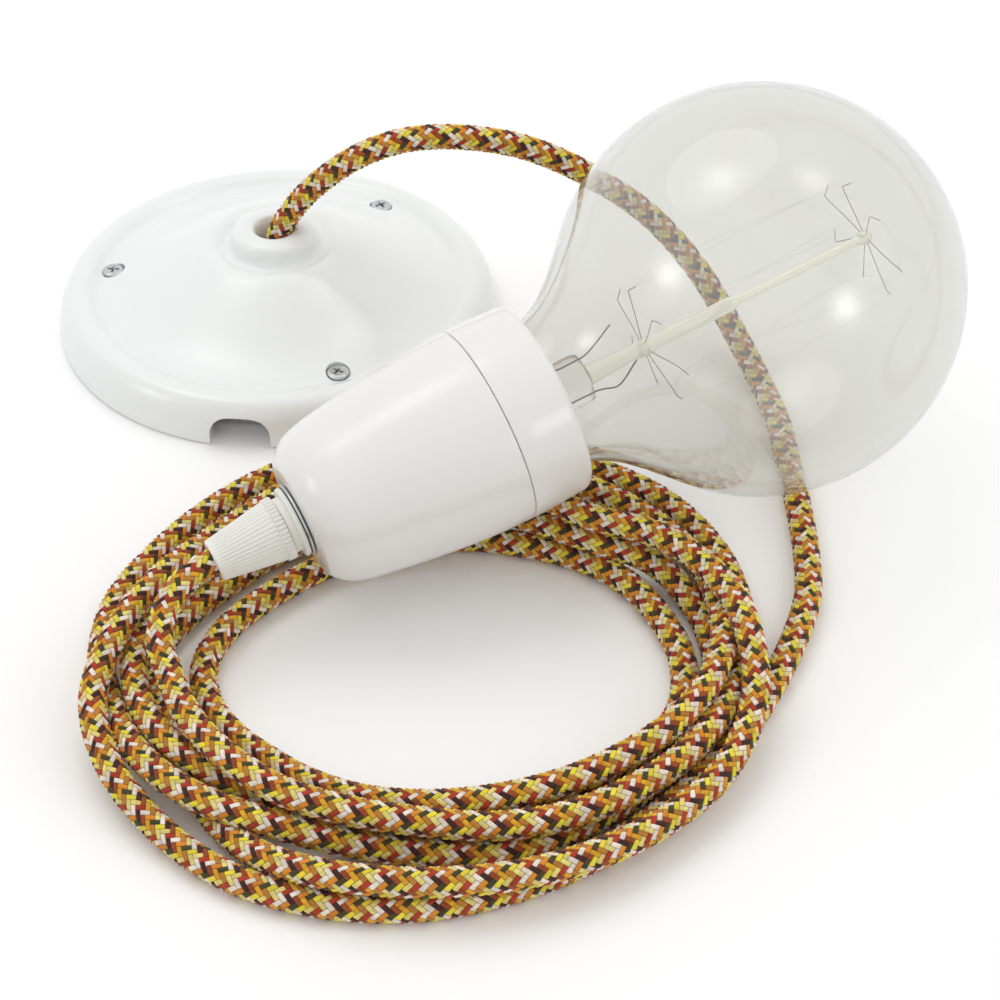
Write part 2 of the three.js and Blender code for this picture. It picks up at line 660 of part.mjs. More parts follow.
function gripCapGeometry() {
  const cone = new THREE.ExtrudeGeometry(capOutline(CAP_NARROW_RADIUS, RIB_DEPTH), {
    depth: CAP_LENGTH - CROWN_LENGTH, steps: 1, bevelEnabled: false,
  }).translate(0, 0, capEnd);
  const spread = (CAP_WIDE_RADIUS / CAP_NARROW_RADIUS - 1) / (CAP_LENGTH - CROWN_LENGTH);
  const corners = cone.attributes.position;
  for (let i = 0; i < corners.count; i += 1) {
    const scale = 1 + spread * (corners.getZ(i) - capEnd);
    corners.setXY(i, corners.getX(i) * scale, corners.getY(i) * scale);
  }
  const crown = new THREE.ExtrudeGeometry(capOutline(CAP_WIDE_RADIUS + CROWN_STEP, CROWN_STEP), {
    depth: CROWN_LENGTH + TOUCH, bevelEnabled: false,
  }).translate(0, 0, capTop - CROWN_LENGTH - TOUCH);
  const room = COLLET_RADIUS + TOUCH;
  const roomEnd = flangeBack - COLLET_LENGTH - 1;
  const bore = revolve([
    [0, capEnd - 1], [GRIP_BORE_RADIUS, capEnd - 1], [GRIP_BORE_RADIUS, roomEnd - 1.5],
    [room, roomEnd], [room, capTop + 1], [0, capTop + 1],
  ], SMALL_ROUND);
  return cut(join(cone, crown), bore);
}

function nutGeometry() {
  const from = HOLDER_FLOOR + TOUCH;
  return cut(rod(NUT_RADIUS, from, from + NUT_THICKNESS, 6),
    rod(GRIP_THREAD_RADIUS + TOUCH, from - 1, from + NUT_THICKNESS + 1, SMALL_ROUND));
}

// Bulb: a blown shell from the neck's root to the top of the globe, open at the root
function glassOutline() {
  const place2d = (x, y) => new THREE.Vector2(x, y);
  const root = place2d(neckRootRadius, neckRoot);
  const neck = new THREE.CubicBezierCurve(
    place2d(neckRootRadius, capRim + 1), place2d(neckRootRadius + 0.4, capRim + 4.5),
    place2d(NECK_RADIUS - 1.2, NECK_PLACE - 6), place2d(NECK_RADIUS, NECK_PLACE));
  const start = THREE.MathUtils.degToRad(GLOBE_JOIN_ANGLE);
  const joinX = GLOBE_RADIUS * Math.cos(start);
  const joinY = GLOBE_REACH + GLOBE_RADIUS * Math.sin(start);
  const flare = new THREE.CubicBezierCurve(
    place2d(NECK_RADIUS, NECK_PLACE), place2d(NECK_RADIUS + 1.4, NECK_PLACE + NECK_PULL),
    place2d(joinX + FLARE_PULL * Math.sin(start), joinY - FLARE_PULL * Math.cos(start)),
    place2d(joinX, joinY));
  const globe = new THREE.EllipseCurve(
    0, GLOBE_REACH, GLOBE_RADIUS, GLOBE_RADIUS, start, Math.PI / 2);
  const outline = [root, ...neck.getPoints(3).slice(0, -1), ...flare.getPoints(4).slice(0, -1),
    ...globe.getPoints(9)];
  outline[outline.length - 1].x = 0;
  return outline;
}

function glassGeometry() {
  const outer = glassOutline();
  const last = outer.length - 1;
  const inner = outer.map((corner, i) => {
    const before = outer[Math.max(i - 1, 0)];
    const after = outer[Math.min(i + 1, last)];
    const along = after.clone().sub(before).normalize();
    const inward = new THREE.Vector2(-along.y, along.x);
    return corner.clone().addScaledVector(inward, GLASS_WALL);
  });
  inner[last].set(0, outer[last].y - GLASS_WALL);
  const loop = [...outer, ...inner.reverse()].map((corner) => [corner.x, corner.y]);
  return revolve(loop, BODY_ROUND);
}

// Stem: a flared glass tube pressed flat round the lead wires, with a rod that carries the hubs
function stemGeometry() {
  const root = neckRoot + 1;
  const flare = neckRootRadius - GLASS_WALL - TOUCH;
  const pressTop = PRESS_PLACE + PRESS_LENGTH;
  const shell = revolve([
    [flare - STEM_WALL, root], [flare, root], [flare - 1.2, root + 2.4],
    [STEM_NECK_RADIUS + 1.6, root + 7], [STEM_NECK_RADIUS, root + 12],
    [STEM_NECK_RADIUS, PRESS_PLACE], [STEM_NECK_RADIUS - 0.5, pressTop],
    [0, pressTop], [0, PRESS_PLACE - 3], [STEM_NECK_RADIUS - STEM_WALL, PRESS_PLACE - 5],
    [STEM_NECK_RADIUS - STEM_WALL, root + 12], [STEM_NECK_RADIUS + 0.7, root + 7],
    [flare - STEM_WALL - 1.2, root + 2.4],
  ], SMALL_ROUND);
  const corners = shell.attributes.position;
  const flatten = PRESS_THICKNESS / (2 * STEM_NECK_RADIUS);
  const widen = PRESS_WIDTH / (2 * STEM_NECK_RADIUS);
  for (let i = 0; i < corners.count; i += 1) {
    const share = THREE.MathUtils.smoothstep(corners.getZ(i), PRESS_PLACE - 6, PRESS_PLACE);
    corners.setX(i, corners.getX(i) * THREE.MathUtils.lerp(1, widen, share));
    corners.setY(i, corners.getY(i) * THREE.MathUtils.lerp(1, flatten, share));
  }
  const carrier = revolve([
    [0, pressTop - 2], [ROD_RADIUS, pressTop - 2], [ROD_RADIUS, ROD_STEP_PLACE],
    [THIN_ROD_RADIUS, ROD_STEP_PLACE + 1], [THIN_ROD_RADIUS, UPPER_HUB_PLACE + HUB_LENGTH / 2 + 1],
    [0, UPPER_HUB_PLACE + HUB_LENGTH / 2 + 1],
  ], TINY_ROUND);
  return join(shell, carrier).rotateZ(THREE.MathUtils.degToRad(STEM_TURN));
}

// A lead wire stands out of the press, bends, and ends beside the first or last hook
function leadWireGeometry(angle, swing) {
  const pressTop = PRESS_PLACE + PRESS_LENGTH;
  const away = PRESS_WIDTH / 2 - 2;
  return tube([
    polar(away, angle, pressTop + TOUCH), polar(away * 1.1, angle, pressTop + 2),
    polar(away * 1.4, angle + swing * 0.3, pressTop + 5),
    polar(away * 2, angle + swing, LOWER_HUB_PLACE - 5),
  ], LEAD_RADIUS, 6, 6);
}

// A hub: a glass bead on the rod with fine hooked wires that hold the filament
function supportAngle(index, turn) {
  return turn + (360 / SUPPORT_COUNT) * index;
}

function supportReach(index) {
  return SUPPORT_REACH - 1.4 * (index % 3);
}

function supportGeometry(hubPlace, boreRadius, lean, turn) {
  const bead = revolve([
    [boreRadius + TOUCH, hubPlace - HUB_LENGTH / 2], [HUB_RADIUS + 0.4, hubPlace - HUB_LENGTH / 4],
    [HUB_RADIUS + 0.4, hubPlace + HUB_LENGTH / 4], [boreRadius + TOUCH, hubPlace + HUB_LENGTH / 2],
  ], TINY_ROUND);
  const wires = [];
  for (let i = 0; i < SUPPORT_COUNT; i += 1) {
    const angle = supportAngle(i, turn);
    const reach = supportReach(i);
    const rootPoint = polar(HUB_RADIUS, angle, hubPlace);
    const middle = polar(reach * 0.6, angle, hubPlace + lean * reach * 0.5);
    const knee = polar(reach, angle, hubPlace + lean * reach * 0.7);
    const tip = polar(reach + HOOK_RADIUS, angle + 5, hubPlace + lean * (reach * 0.7 + 3));
    wires.push(tube([rootPoint, middle, knee, tip], WIRE_RADIUS, 4, 4));
  }
  return join(bead, ...wires);
}

// The filament runs from hook to hook, up and down between the hubs
function filamentGeometry() {
  const points = [];
  for (let i = 0; i < SUPPORT_COUNT; i += 1) {
    const angle = supportAngle(i, LOWER_TURN);
    const reach = supportReach(i) + HOOK_RADIUS + WIRE_RADIUS + TOUCH + WIRE_RADIUS;
    const low = LOWER_HUB_PLACE + LOWER_LEAN * (supportReach(i) * 0.7 + 2);
    const high = UPPER_HUB_PLACE + UPPER_LEAN * (supportReach(i) * 0.7 + 2);
    const ends = [polar(reach, angle + 5, low), polar(reach, angle + 9, high)];
    if (i % 2 === 1) ends.reverse();
    points.push(...ends);
  }
  return tube(points, WIRE_RADIUS, 39, 4);
}

// Lamp cap: nickel sheet, black glass insulator and a tip contact

function lampCapGeometry() {
  const side = coneBack + CAP_CONE_LENGTH;
  const top = capRim;
  const sheet = CAP_SHELL_SHEET;
  return revolve([
    [CAP_CONE_RADIUS - sheet, coneBack], [CAP_CONE_RADIUS, coneBack - 0.1],
    [CAP_SHELL_RADIUS - 0.7, side - 1.4], [CAP_SHELL_RADIUS, side], [CAP_SHELL_RADIUS, top],
    [CAP_SHELL_RADIUS - sheet, top], [CAP_SHELL_RADIUS - sheet, side + 0.1],
    [CAP_SHELL_RADIUS - 0.7 - sheet, side - 1.2],
  ], BODY_ROUND);
}

function insulatorGeometry() {
  return revolve([
    [0, insulatorBack + TOUCH], [TIP_RADIUS + 0.4, insulatorBack + TOUCH],
    [INSULATOR_RADIUS - 0.1, coneBack - 0.2], [INSULATOR_RADIUS - 0.1, coneBack + 1],
    [0, coneBack + 1],
  ], SMALL_ROUND);
}

function tipGeometry() {
  return revolve([
    [0, tipBack], [TIP_RADIUS * 0.6, tipBack], [TIP_RADIUS, insulatorBack - 0.2],
    [TIP_RADIUS, insulatorBack], [0, insulatorBack],
  ], SMALL_ROUND);
}

// Cord: out of the rose in an arch, down to the floor, under the globe and to the coil
const cordRisePoints = [
  [-58, 76.5, clampBottom], [-58, 76.4, 25], [-57.3, 75.9, 30.5], [-54.4, 74.2, 36.8],
  [-48.2, 72.4, 44.2], [-38.8, 71.2, 51.2], [-26, 70.8, 56], [-12.4, 71.2, 57.5],
  [5, 72.7, 54], [22.6, 74.1, 44.6], [38.4, 74.2, 32], [51.4, 67.6, 18.8], [59.8, 55.4, 9],
  [65.2, 41, 4.6], [68.6, 26, 3.5], [69.8, 10, 3.4], [70.8, -8, 3.4], [71, -25.5, 3.4],
  [69.8, -39.3, 3.4], [67.6, -49, 3.4], [64.7, -57, 3.4],
];

// Cord: out of the grip, round a bend and down on to the coil
const gripMouth = new THREE.Vector3(0, 0, capEnd).applyQuaternion(head.quaternion).add(head.position);
const cordTailOffsets = [
  [-0.26, -0.13, -0.07], [-4.6, -3, -1.3], [-7.8, -6.9, -2.8], [-9.9, -11.4, -4.5],
  [-10.6, -16.4, -6.4], [-10.5, -24, -8.8],
];

function coilGeometry() {
  const middle = (COIL_OUTER_RADIUS + COIL_INNER_RADIUS) / 2;
  const half = (COIL_OUTER_RADIUS - COIL_INNER_RADIUS) / 2;
  const rows = 10;
  const profile = [];
  for (let i = 0; i < rows; i += 1) {
    const angle = (2 * Math.PI * i) / rows - Math.PI / 2;
    const squareCos = Math.sign(Math.cos(angle)) * Math.sqrt(Math.abs(Math.cos(angle)));
    const squareSin = Math.sign(Math.sin(angle)) * Math.sqrt(Math.abs(Math.sin(angle)));
    profile.push([middle + half * squareCos, (COIL_HEIGHT / 2) * (1 + squareSin)]);
  }
  return revolve(profile).translate(COIL_CENTRE[0], COIL_CENTRE[1], 0);
}

// Assembly
place(rose, "ceiling_rose", roseGeometry(), glazedPorcelain);
for (let i = 0; i < SCREW_COUNT; i += 1) {
  place(rose, `rose_screw_${i + 1}`, roseScrewGeometry(i), zincSteel);
}
place(rose, "rose_bracket", bracketGeometry(), zincSteel);
place(rose, "rose_cord_clamp", clampGeometry(), whitePlastic);
place(rose, "rose_clamp_screw", clampScrewGeometry(), whitePlastic);
place(rose, "rose_terminal_block", terminalBlockGeometry(), whitePlastic);

const poles = [["live", -1, brownSleeve], ["neutral", 1, blueSleeve]];
for (const [pole, side, sleeve] of poles) {
  place(rose, `rose_terminal_${pole}`, roseTerminalGeometry(side), brass);
  place(rose, `rose_terminal_screw_${pole}`, roseTerminalScrewGeometry(side), zincSteel);
  place(rose, `rose_core_${pole}`, roseCoreGeometry(side), sleeve);
}

place(head, "holder_dome", domeGeometry(), glazedPorcelain);
place(head, "holder_skirt", skirtGeometry(), glazedPorcelain);
place(head, "holder_insert", insertGeometry(), ceramic);
place(head, "screw_shell", screwShellGeometry(), brass);
place(head, "centre_contact", centreContactGeometry(), brass);
for (const [pole, side, sleeve] of poles) {
  place(head, `holder_terminal_${pole}`, holderTerminalGeometry(side), brass);
  place(head, `holder_terminal_screw_${pole}`, holderTerminalScrewGeometry(side), zincSteel);
  place(head, `holder_core_${pole}`, holderCoreGeometry(side), sleeve);
}
place(head, "metal_washer", washerGeometry(), zincSteel);
place(head, "grip_base", gripBaseGeometry(), creamPlastic);
place(head, "grip_cap", gripCapGeometry(), creamPlastic);
place(head, "lock_nut", nutGeometry(), zincSteel);

place(head, "bulb_glass", glassGeometry(), clearGlass);
place(head, "bulb_stem", stemGeometry(), clearGlass);
place(head, "lead_wire_1", leadWireGeometry(STEM_TURN, 0), wireMetal);
place(head, "lead_wire_2", leadWireGeometry(STEM_TURN + 180, LEAD_SWING), wireMetal);
place(head, "lower_support", supportGeometry(LOWER_HUB_PLACE, ROD_RADIUS, LOWER_LEAN, LOWER_TURN), wireMetal);
place(head, "upper_support", supportGeometry(UPPER_HUB_PLACE, THIN_ROD_RADIUS, UPPER_LEAN, UPPER_TURN),
  wireMetal);
place(head, "filament", filamentGeometry(), wireMetal);
place(head, "bulb_cap", lampCapGeometry(), nickelSheet);
place(head, "cap_insulator", insulatorGeometry(), blackGlass);
place(head, "cap_contact", tipGeometry(), brass);

// The frame: the box of everything but the cord is centred on the origin
object.updateMatrixWorld(true);
const box = new THREE.Box3().setFromObject(rose, true).union(new THREE.Box3().setFromObject(head, true));
const middle = box.getCenter(new THREE.Vector3());

place(cords, "cord_rise", tube(cordRisePoints, CORD_RADIUS, 20, 8), braidedFabric);
const tailPoints = cordTailOffsets.map(([x, y, z]) => [
  gripMouth.x + x, gripMouth.y + y, gripMouth.z + z,
]);
place(cords, "cord_tail", tube(tailPoints, CORD_RADIUS, 8, 10), braidedFabric);
place(cords, "cord_coil", coilGeometry(), braidedFabric);

object.position.set(-middle.x, -middle.y, -box.min.z);
export default object;
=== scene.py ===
"""A pendant cord set laid on a table: a porcelain ceiling rose, a braided cord in a coil,
and a porcelain lamp holder with a clear globe bulb."""
import json
import math

import bpy
import numpy as np
from mathutils import Matrix, Vector


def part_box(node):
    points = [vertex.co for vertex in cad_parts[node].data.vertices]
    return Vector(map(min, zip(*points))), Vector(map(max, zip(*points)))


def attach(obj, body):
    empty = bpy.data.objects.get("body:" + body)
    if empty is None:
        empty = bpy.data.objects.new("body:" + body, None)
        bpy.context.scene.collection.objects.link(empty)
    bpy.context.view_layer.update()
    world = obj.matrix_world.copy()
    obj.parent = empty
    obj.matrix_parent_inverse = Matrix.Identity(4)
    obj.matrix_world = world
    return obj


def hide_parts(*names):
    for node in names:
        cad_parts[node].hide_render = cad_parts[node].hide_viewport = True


MM = 0.001

# Room between pieces that seat in each other, in millimetres
CLEARANCE = 0.3

# Places, in millimetres, on the layout that the part's source also uses
ROSE_CENTRE = (-58.0, 76.5)
COIL_CENTRE = (-16.0, -60.0)
GLOBE_CENTRE = (59.2, 10.9, 53.6)
HEAD_HEADING = 26.0
HEAD_RISE = 12.7
GLOBE_REACH = 118.0

# Camera
CAMERA_DISTANCE = 600.0
CAMERA_ELEVATION = 39.8
CAMERA_LENS = 89.96

# Cord
CORD_RADIUS = 3.2
BRAID_COLUMNS = 12
BRAID_PITCH = 1.6
BRAID_SINK = 0.42
CORD_IN_GRIP = 6.0

# Ceiling rose
ROSE_RADIUS = 57.0
ROSE_WALL = 4.4
ROSE_RIM_HEIGHT = 11.8
ROSE_VALLEY_RADIUS = 46.6
ROSE_VALLEY_HEIGHT = 10.3
SHOULDER_RADIUS = 17.6
SHOULDER_HEIGHT = 23.7
BOSS_RADIUS = 11.0
BOSS_HEIGHT = 27.7
CORD_HOLE_RADIUS = 4.8
NOTCH_WIDTH = 15.2
NOTCH_HEIGHT = 8.2
NOTCH_ANGLE = -96.0
BRACKET_RADIUS = 47.6
SCREW_CIRCLE_RADIUS = 43.6
SCREW_FIRST_ANGLE = 174.0
SCREW_COUNT = 3
SCREW_HEAD_RADIUS = 2.8
SCREW_HEAD_HEIGHT = 1.2
SCREW_SHANK_RADIUS = 1.6
SCREW_SEAT_HEIGHT = 9.9
SCREW_FOOT = 2.3

# Lamp holder, along its own axis from the small end
HOLDER_LENGTH = 62.0
HOLDER_SEAM = 47.0
SEAM_GAP = 0.14
HOLDER_RADIUS = 23.25
HOLDER_END_RADIUS = 14.2
HOLDER_SHOULDER_RADIUS = 19.2
HOLDER_SHOULDER_LENGTH = 9.3
HOLDER_FLOOR = 5.0
HOLDER_BORE = 5.3
SPIGOT_LENGTH = 4.6
SPIGOT_BORE = 16.85
SPIGOT_RADIUS = 18.85
INSERT_BACK = 17.0
INSERT_RADIUS = 16.05
MOUTH_BORE = 18.4

# Cord grip
GRIP_THREAD_RADIUS = 4.9
GRIP_THREAD_END = 9.6
WASHER_RADIUS = 8.5
WASHER_BACK = -0.9
FLANGE_RADIUS = 8.2
FLANGE_TOP = -1.1
FLANGE_BACK = -2.3
COLLAR_RADIUS = 6.5
COLLET_LENGTH = 9.0
COLLET_RADIUS = 5.3
GRIP_BORE = 3.5
CAP_TOP = -4.1
CAP_LENGTH = 17.1
CAP_END = CAP_TOP - CAP_LENGTH
CAP_WIDE_RADIUS = 7.1
CAP_NARROW_RADIUS = 4.8
CROWN_LENGTH = 2.1
CROWN_STEP = 0.35
RIB_COUNT = 40
RIB_DEPTH = 0.34
CROWN_TEETH = 42

# Bulb
GLOBE_RADIUS = 47.5
GLASS_WALL = 0.7
NECK_RADIUS = 17.1
NECK_PLACE = 62.0
NECK_ROOT = 41.9
NECK_ROOT_RADIUS = 12.2
CAP_RIM = 48.3
GLOBE_JOIN_ANGLE = -46.0
FLARE_PULL = 13.0
NECK_PULL = 8.0
STEM_NECK_RADIUS = 4.6
STEM_WALL = 0.9
PRESS_PLACE = 66.0
PRESS_LENGTH = 7.0
PRESS_WIDTH = 12.0
PRESS_THICKNESS = 4.0
STEM_TURN = 50.0
ROD_RADIUS = 1.7
WEDGE_RADIUS = 2.5
THIN_ROD_RADIUS = 1.0
ROD_STEP_PLACE = 111.0
LOWER_HUB_PLACE = 88.0
UPPER_HUB_PLACE = 147.0
HUB_RADIUS = 2.1
HUB_LENGTH = 4.0
SUPPORT_COUNT = 7
SUPPORT_REACH = 15.0
SUPPORT_SHRINK = 0.093
LOWER_LEAN = 0.1
UPPER_LEAN = -0.1
LOWER_TURN = 12.0
UPPER_TURN = 16.0
WIRE_RADIUS = 0.1
FILAMENT_RADIUS = 0.018
LEAD_RADIUS = 0.19
LEAD_SWING = -80.0
HOOK_LENGTH = 2.6

# Cord route: out of the rose in an arch, down to the floor and under the globe
CORD_RISE = [
    (-58.2, 76.5, 13.3), (-57.9, 76.5, 20), (-56.5, 76.2, 26.5), (-53.5, 75.7, 32.2),
    (-49, 74.6, 38.7), (-40.2, 72.4, 47.9), (-32.4, 71.2, 53.4), (-23.7, 70.8, 56.8), (-12.4, 71.2, 57.6),
    (5, 72.7, 54), (22.6, 74.1, 44.6), (38.4, 74.2, 32), (51.4, 67.6, 18.8),
    (59.8, 55.4, 9), (65.2, 41, 4.6), (68.6, 26, 3.5), (69.8, 10, 3.4),
    (70.8, -8, 3.4), (71, -25.5, 3.4), (69.8, -39.3, 3.4),
]

# Cord route: the coil's five and a half turns, each a list of radius and height at equal angles
# from the right-hand side, clockwise seen from above. They follow the strands in the photograph,
# moved apart where they would meet
COIL_STEPS = 24
COIL_TURNS = [
    [
        (78.7, 3.2), (71.9, 3.2), (68.2, 3.2), (66.7, 3.2), (67.1, 3.2), (68.3, 3.2),
        (70.4, 3.2), (72.1, 3.2), (73.4, 3.2), (73.7, 4.0), (74.6, 7.4), (73.2, 10.9),
        (66.7, 14.5), (61.4, 14.8), (59.9, 11.4), (60.0, 9.7), (63.4, 8.3), (66.0, 6.2),
        (68.4, 5.0), (71.1, 4.8), (70.6, 4.0), (70.9, 3.5), (69.4, 4.9), (67.0, 8.3),
    ],
    [
        (65.1, 11.1), (62.8, 13.0), (58.3, 11.4), (53.5, 9.8), (50.7, 9.6), (49.0, 9.5),
        (48.5, 9.5), (48.3, 9.2), (46.8, 7.4), (45.5, 5.0), (46.8, 3.7), (48.8, 3.3),
        (49.0, 3.2), (46.3, 3.2), (42.8, 3.2), (40.8, 3.2), (40.3, 3.2), (40.2, 3.2),
        (41.3, 3.2), (43.5, 3.2), (45.6, 3.2), (49.2, 3.2), (52.4, 3.2), (54.3, 3.2),
    ],
    [
        (56.4, 3.2), (56.8, 3.2), (54.0, 3.2), (51.4, 3.2), (50.2, 3.2), (49.6, 3.2),
        (49.5, 3.2), (50.4, 3.2), (52.1, 4.0), (56.9, 7.3), (61.6, 9.3), (63.6, 8.8),
        (63.7, 9.0), (61.0, 8.4), (60.6, 4.9), (60.2, 3.4), (59.7, 3.2), (60.2, 3.3),
        (61.9, 4.3), (58.6, 8.3), (51.2, 14.4), (50.5, 15.7), (60.0, 14.6), (65.6, 15.1),
    ],
    [
        (69.4, 15.7), (72.9, 11.4), (73.0, 8.1), (71.5, 7.6), (70.7, 8.5), (70.1, 9.3),
        (69.6, 9.5), (69.5, 9.0), (67.2, 5.6), (62.9, 3.2), (60.0, 3.2), (59.6, 3.2),
        (61.1, 3.2), (57.0, 3.2), (53.1, 3.2), (51.5, 3.4), (48.7, 4.4), (45.8, 6.2),
        (46.0, 7.5), (48.9, 7.9), (48.4, 8.8), (50.0, 9.4), (59.3, 6.4), (62.9, 3.5),
    ],
    [
        (63.7, 3.2), (63.1, 3.3), (61.6, 3.4), (59.6, 3.3), (58.5, 3.2), (58.3, 3.3),
        (56.3, 3.8), (56.8, 5.0), (60.3, 7.7), (65.4, 9.3), (68.1, 8.2), (69.0, 5.5),
        (72.0, 3.6), (73.8, 3.2), (73.3, 3.2), (74.2, 3.2), (75.8, 3.2), (76.5, 3.2),
        (77.8, 3.2), (77.5, 3.2), (78.1, 3.2), (78.3, 3.2), (76.1, 3.2), (72.6, 3.9),
    ],
    [
        (69.2, 6.2), (67.0, 8.3), (64.6, 8.9), (61.9, 9.3), (59.6, 9.5), (56.9, 10.0),
        (54.7, 11.1), (54.7, 12.1), (55.9, 13.1), (56.5, 14.3), (56.6, 14.4), (56.6, 14.4),
    ],
]

# Cord route: from the coil up into the grip, as distances from the grip's mouth
CORD_TAIL = [
    (-10.2, -19.6, -6.6), (-9.7, -11.6, -4.4), (-7.8, -6.9, -2.8), (-4.6, -3, -1.3),
    (-0.26, -0.13, -0.07),
]

# The surrounding's light on matt surfaces
SKY_LEVEL = 0.79

# Where the soft bright spots lie that shiny surfaces mirror: direction, sharpness and level
SKY_SPOTS = [
    ((-0.33, 0.2, 0.92), 70.0, 2.2), ((0.38, 0.16, 0.9), 110.0, 2.0),
    ((-0.8, -0.35, 0.42), 110.0, 3.4), ((0.69, -0.66, 0.3), 110.0, 3.4),
]

# Lamps, in metres and watts: name, size, place, the point they face, and power
LAMPS = [
    ("soft box above", (1.3, 1.0), (-0.35, 0.4, 1.15), (0, 0, 0), 4.4),
    ("soft box right", (0.8, 0.9), (0.9, -0.3, 0.8), (0, 0, 0.02), 1.3),
]
FLOOR_SIZE = 6.0

# Colours as they look in daylight
PORCELAIN_WHITE = "#edefee"
HOLDER_WHITE = "#ebeae7"
CREAM_WHITE = "#edece5"
PLASTIC_WHITE = "#f0efea"
ZINC_GREY = "#cdcfd0"
BRASS_YELLOW = "#c8a050"
NICKEL_GREY = "#c9c6bd"
WIRE_GREY = "#8b8985"
LEAD_GREY = "#6b6863"
CERAMIC_CREAM = "#e8e4da"
GLASS_BLACK = "#17171a"
GLOBE_TINT = "#f0f0ed"
ROD_TINT = "#fbfbee"
SLEEVE_BROWN = "#5b3420"
SLEEVE_BLUE = "#2a5fa8"
FLOOR_WHITE = "#ffffff"
FLOOR_BOUNCE = "#fafafa"
RIGHT_STRANDS = ["#f4e6d6", "#ecdc84", "#c08032", "#e6aa2a", "#9c4a24", "#42201c"]
LEFT_STRANDS = ["#f4e6d6", "#b43a22", "#ecd67c", "#f0dc3c", "#464020", "#e08c28"]


def linear(code):
    """The linear colour of a six-figure colour code."""
    values = [int(code[i:i + 2], 16) / 255 for i in (1, 3, 5)]
    bent = [v / 12.92 if v <= 0.04045 else ((v + 0.055) / 1.055) ** 2.4 for v in values]
    return (*bent, 1.0)


# Meshes and curves

def polar(radius, degrees, height=0.0):
    angle = math.radians(degrees)
    return np.array([radius * math.cos(angle), radius * math.sin(angle), height])


def smooth_curve(points, steps):
    """A centripetal curve through the points, with that many samples in each span."""
    points = np.asarray(points, float)
    ends = np.vstack([2 * points[0] - points[1], points, 2 * points[-1] - points[-2]])
    samples = []
    for i in range(1, len(ends) - 2):
        p0, p1, p2, p3 = ends[i - 1:i + 3]
        t1 = math.sqrt(max(np.linalg.norm(p1 - p0), 1e-9))
        t2 = t1 + math.sqrt(max(np.linalg.norm(p2 - p1), 1e-9))
        t3 = t2 + math.sqrt(max(np.linalg.norm(p3 - p2), 1e-9))
        t = np.linspace(t1, t2, steps, endpoint=False)[:, None]
        a1 = (t1 - t) / t1 * p0 + t / t1 * p1
        a2 = (t2 - t) / (t2 - t1) * p1 + (t - t1) / (t2 - t1) * p2
        a3 = (t3 - t) / (t3 - t2) * p2 + (t - t2) / (t3 - t2) * p3
        b1 = (t2 - t) / t2 * a1 + t / t2 * a2
        b2 = (t3 - t) / (t3 - t1) * a2 + (t - t1) / (t3 - t1) * a3
        samples.append((t2 - t) / (t2 - t1) * b1 + (t - t1) / (t2 - t1) * b2)
    samples.append(points[-1:])
    return np.vstack(samples)


def even_steps(points, count):
    """The same line with that many points, an equal distance apart."""
    run = np.concatenate([[0], np.cumsum(np.linalg.norm(np.diff(points, axis=0), axis=1))])
    places = np.linspace(0, run[-1], count)
    return np.stack([np.interp(places, run, points[:, k]) for k in range(3)], axis=1)


def line_length(points):
    return float(np.linalg.norm(np.diff(points, axis=0), axis=1).sum())


def outward(path, sides):
    """For each point of a path, directions across it at even angles. They turn with the path but
    don't twist."""
    along = np.gradient(path, axis=0)
    along /= np.linalg.norm(along, axis=1)[:, None]
    side = np.cross(along[0], [0.3, 1.0, 0.2])
    first = []
    for direction in along:
        side = side - direction * np.dot(side, direction)
        side /= np.linalg.norm(side)
        first.append(side)
    first = np.array(first)
    second = np.cross(along, first)
    angles = np.linspace(0, 2 * math.pi, sides, endpoint=False)[None, :, None]
    return np.cos(angles) * first[:, None] + np.sin(angles) * second[:, None]


def smooth_profile(corners):
    """A curve through the [radius, height] corners of a profile."""
    return smooth_curve([(radius, height, 0) for radius, height in corners], 6)[:, :2]


def rounded(corners, steps=5):
    """A profile of [radius, height, rounding] corners with each corner turned into an arc."""
    profile = []
    count = len(corners)
    for i, (x, y, size) in enumerate(corners):
        here = np.array([x, y])
        before = np.array(corners[i - 1][:2]) - here
        after = np.array(corners[(i + 1) % count][:2]) - here
        if size <= 0:
            profile.append(here)
            continue
        reach = min(size, 0.48 * np.linalg.norm(before), 0.48 * np.linalg.norm(after))
        start = here + before / np.linalg.norm(before) * reach
        end = here + after / np.linalg.norm(after) * reach
        for step in range(steps + 1):
            t = step / steps
            profile.append((1 - t) ** 2 * start + 2 * t * (1 - t) * here + t * t * end)
    return profile


def new_mesh(name, points, faces):
    mesh = bpy.data.meshes.new(name)
    mesh.from_pydata([tuple(p) for p in points], [], faces)
    mesh.validate()
    mesh.update()
    return mesh


def turned_mesh(name, profile, segments=128):
    """Turns a closed profile, given in millimetres and anticlockwise, about +Z."""
    points = []
    rows = []
    for radius, height in profile:
        if radius < 1e-6:
            rows.append([len(points)] * segments)
            points.append((0.0, 0.0, height * MM))
            continue
        rows.append(list(range(len(points), len(points) + segments)))
        for k in range(segments):
            angle = 2 * math.pi * k / segments
            points.append((radius * MM * math.cos(angle), radius * MM * math.sin(angle), height * MM))
    faces = []
    for i, row in enumerate(rows):
        above = rows[(i + 1) % len(rows)]
        if row[0] == row[1] and above[0] == above[1]:
            continue
        for k in range(segments):
            n = (k + 1) % segments
            corners = [row[k], row[n], above[n], above[k]]
            faces.append(list(dict.fromkeys(corners)))
    return new_mesh(name, points, faces)


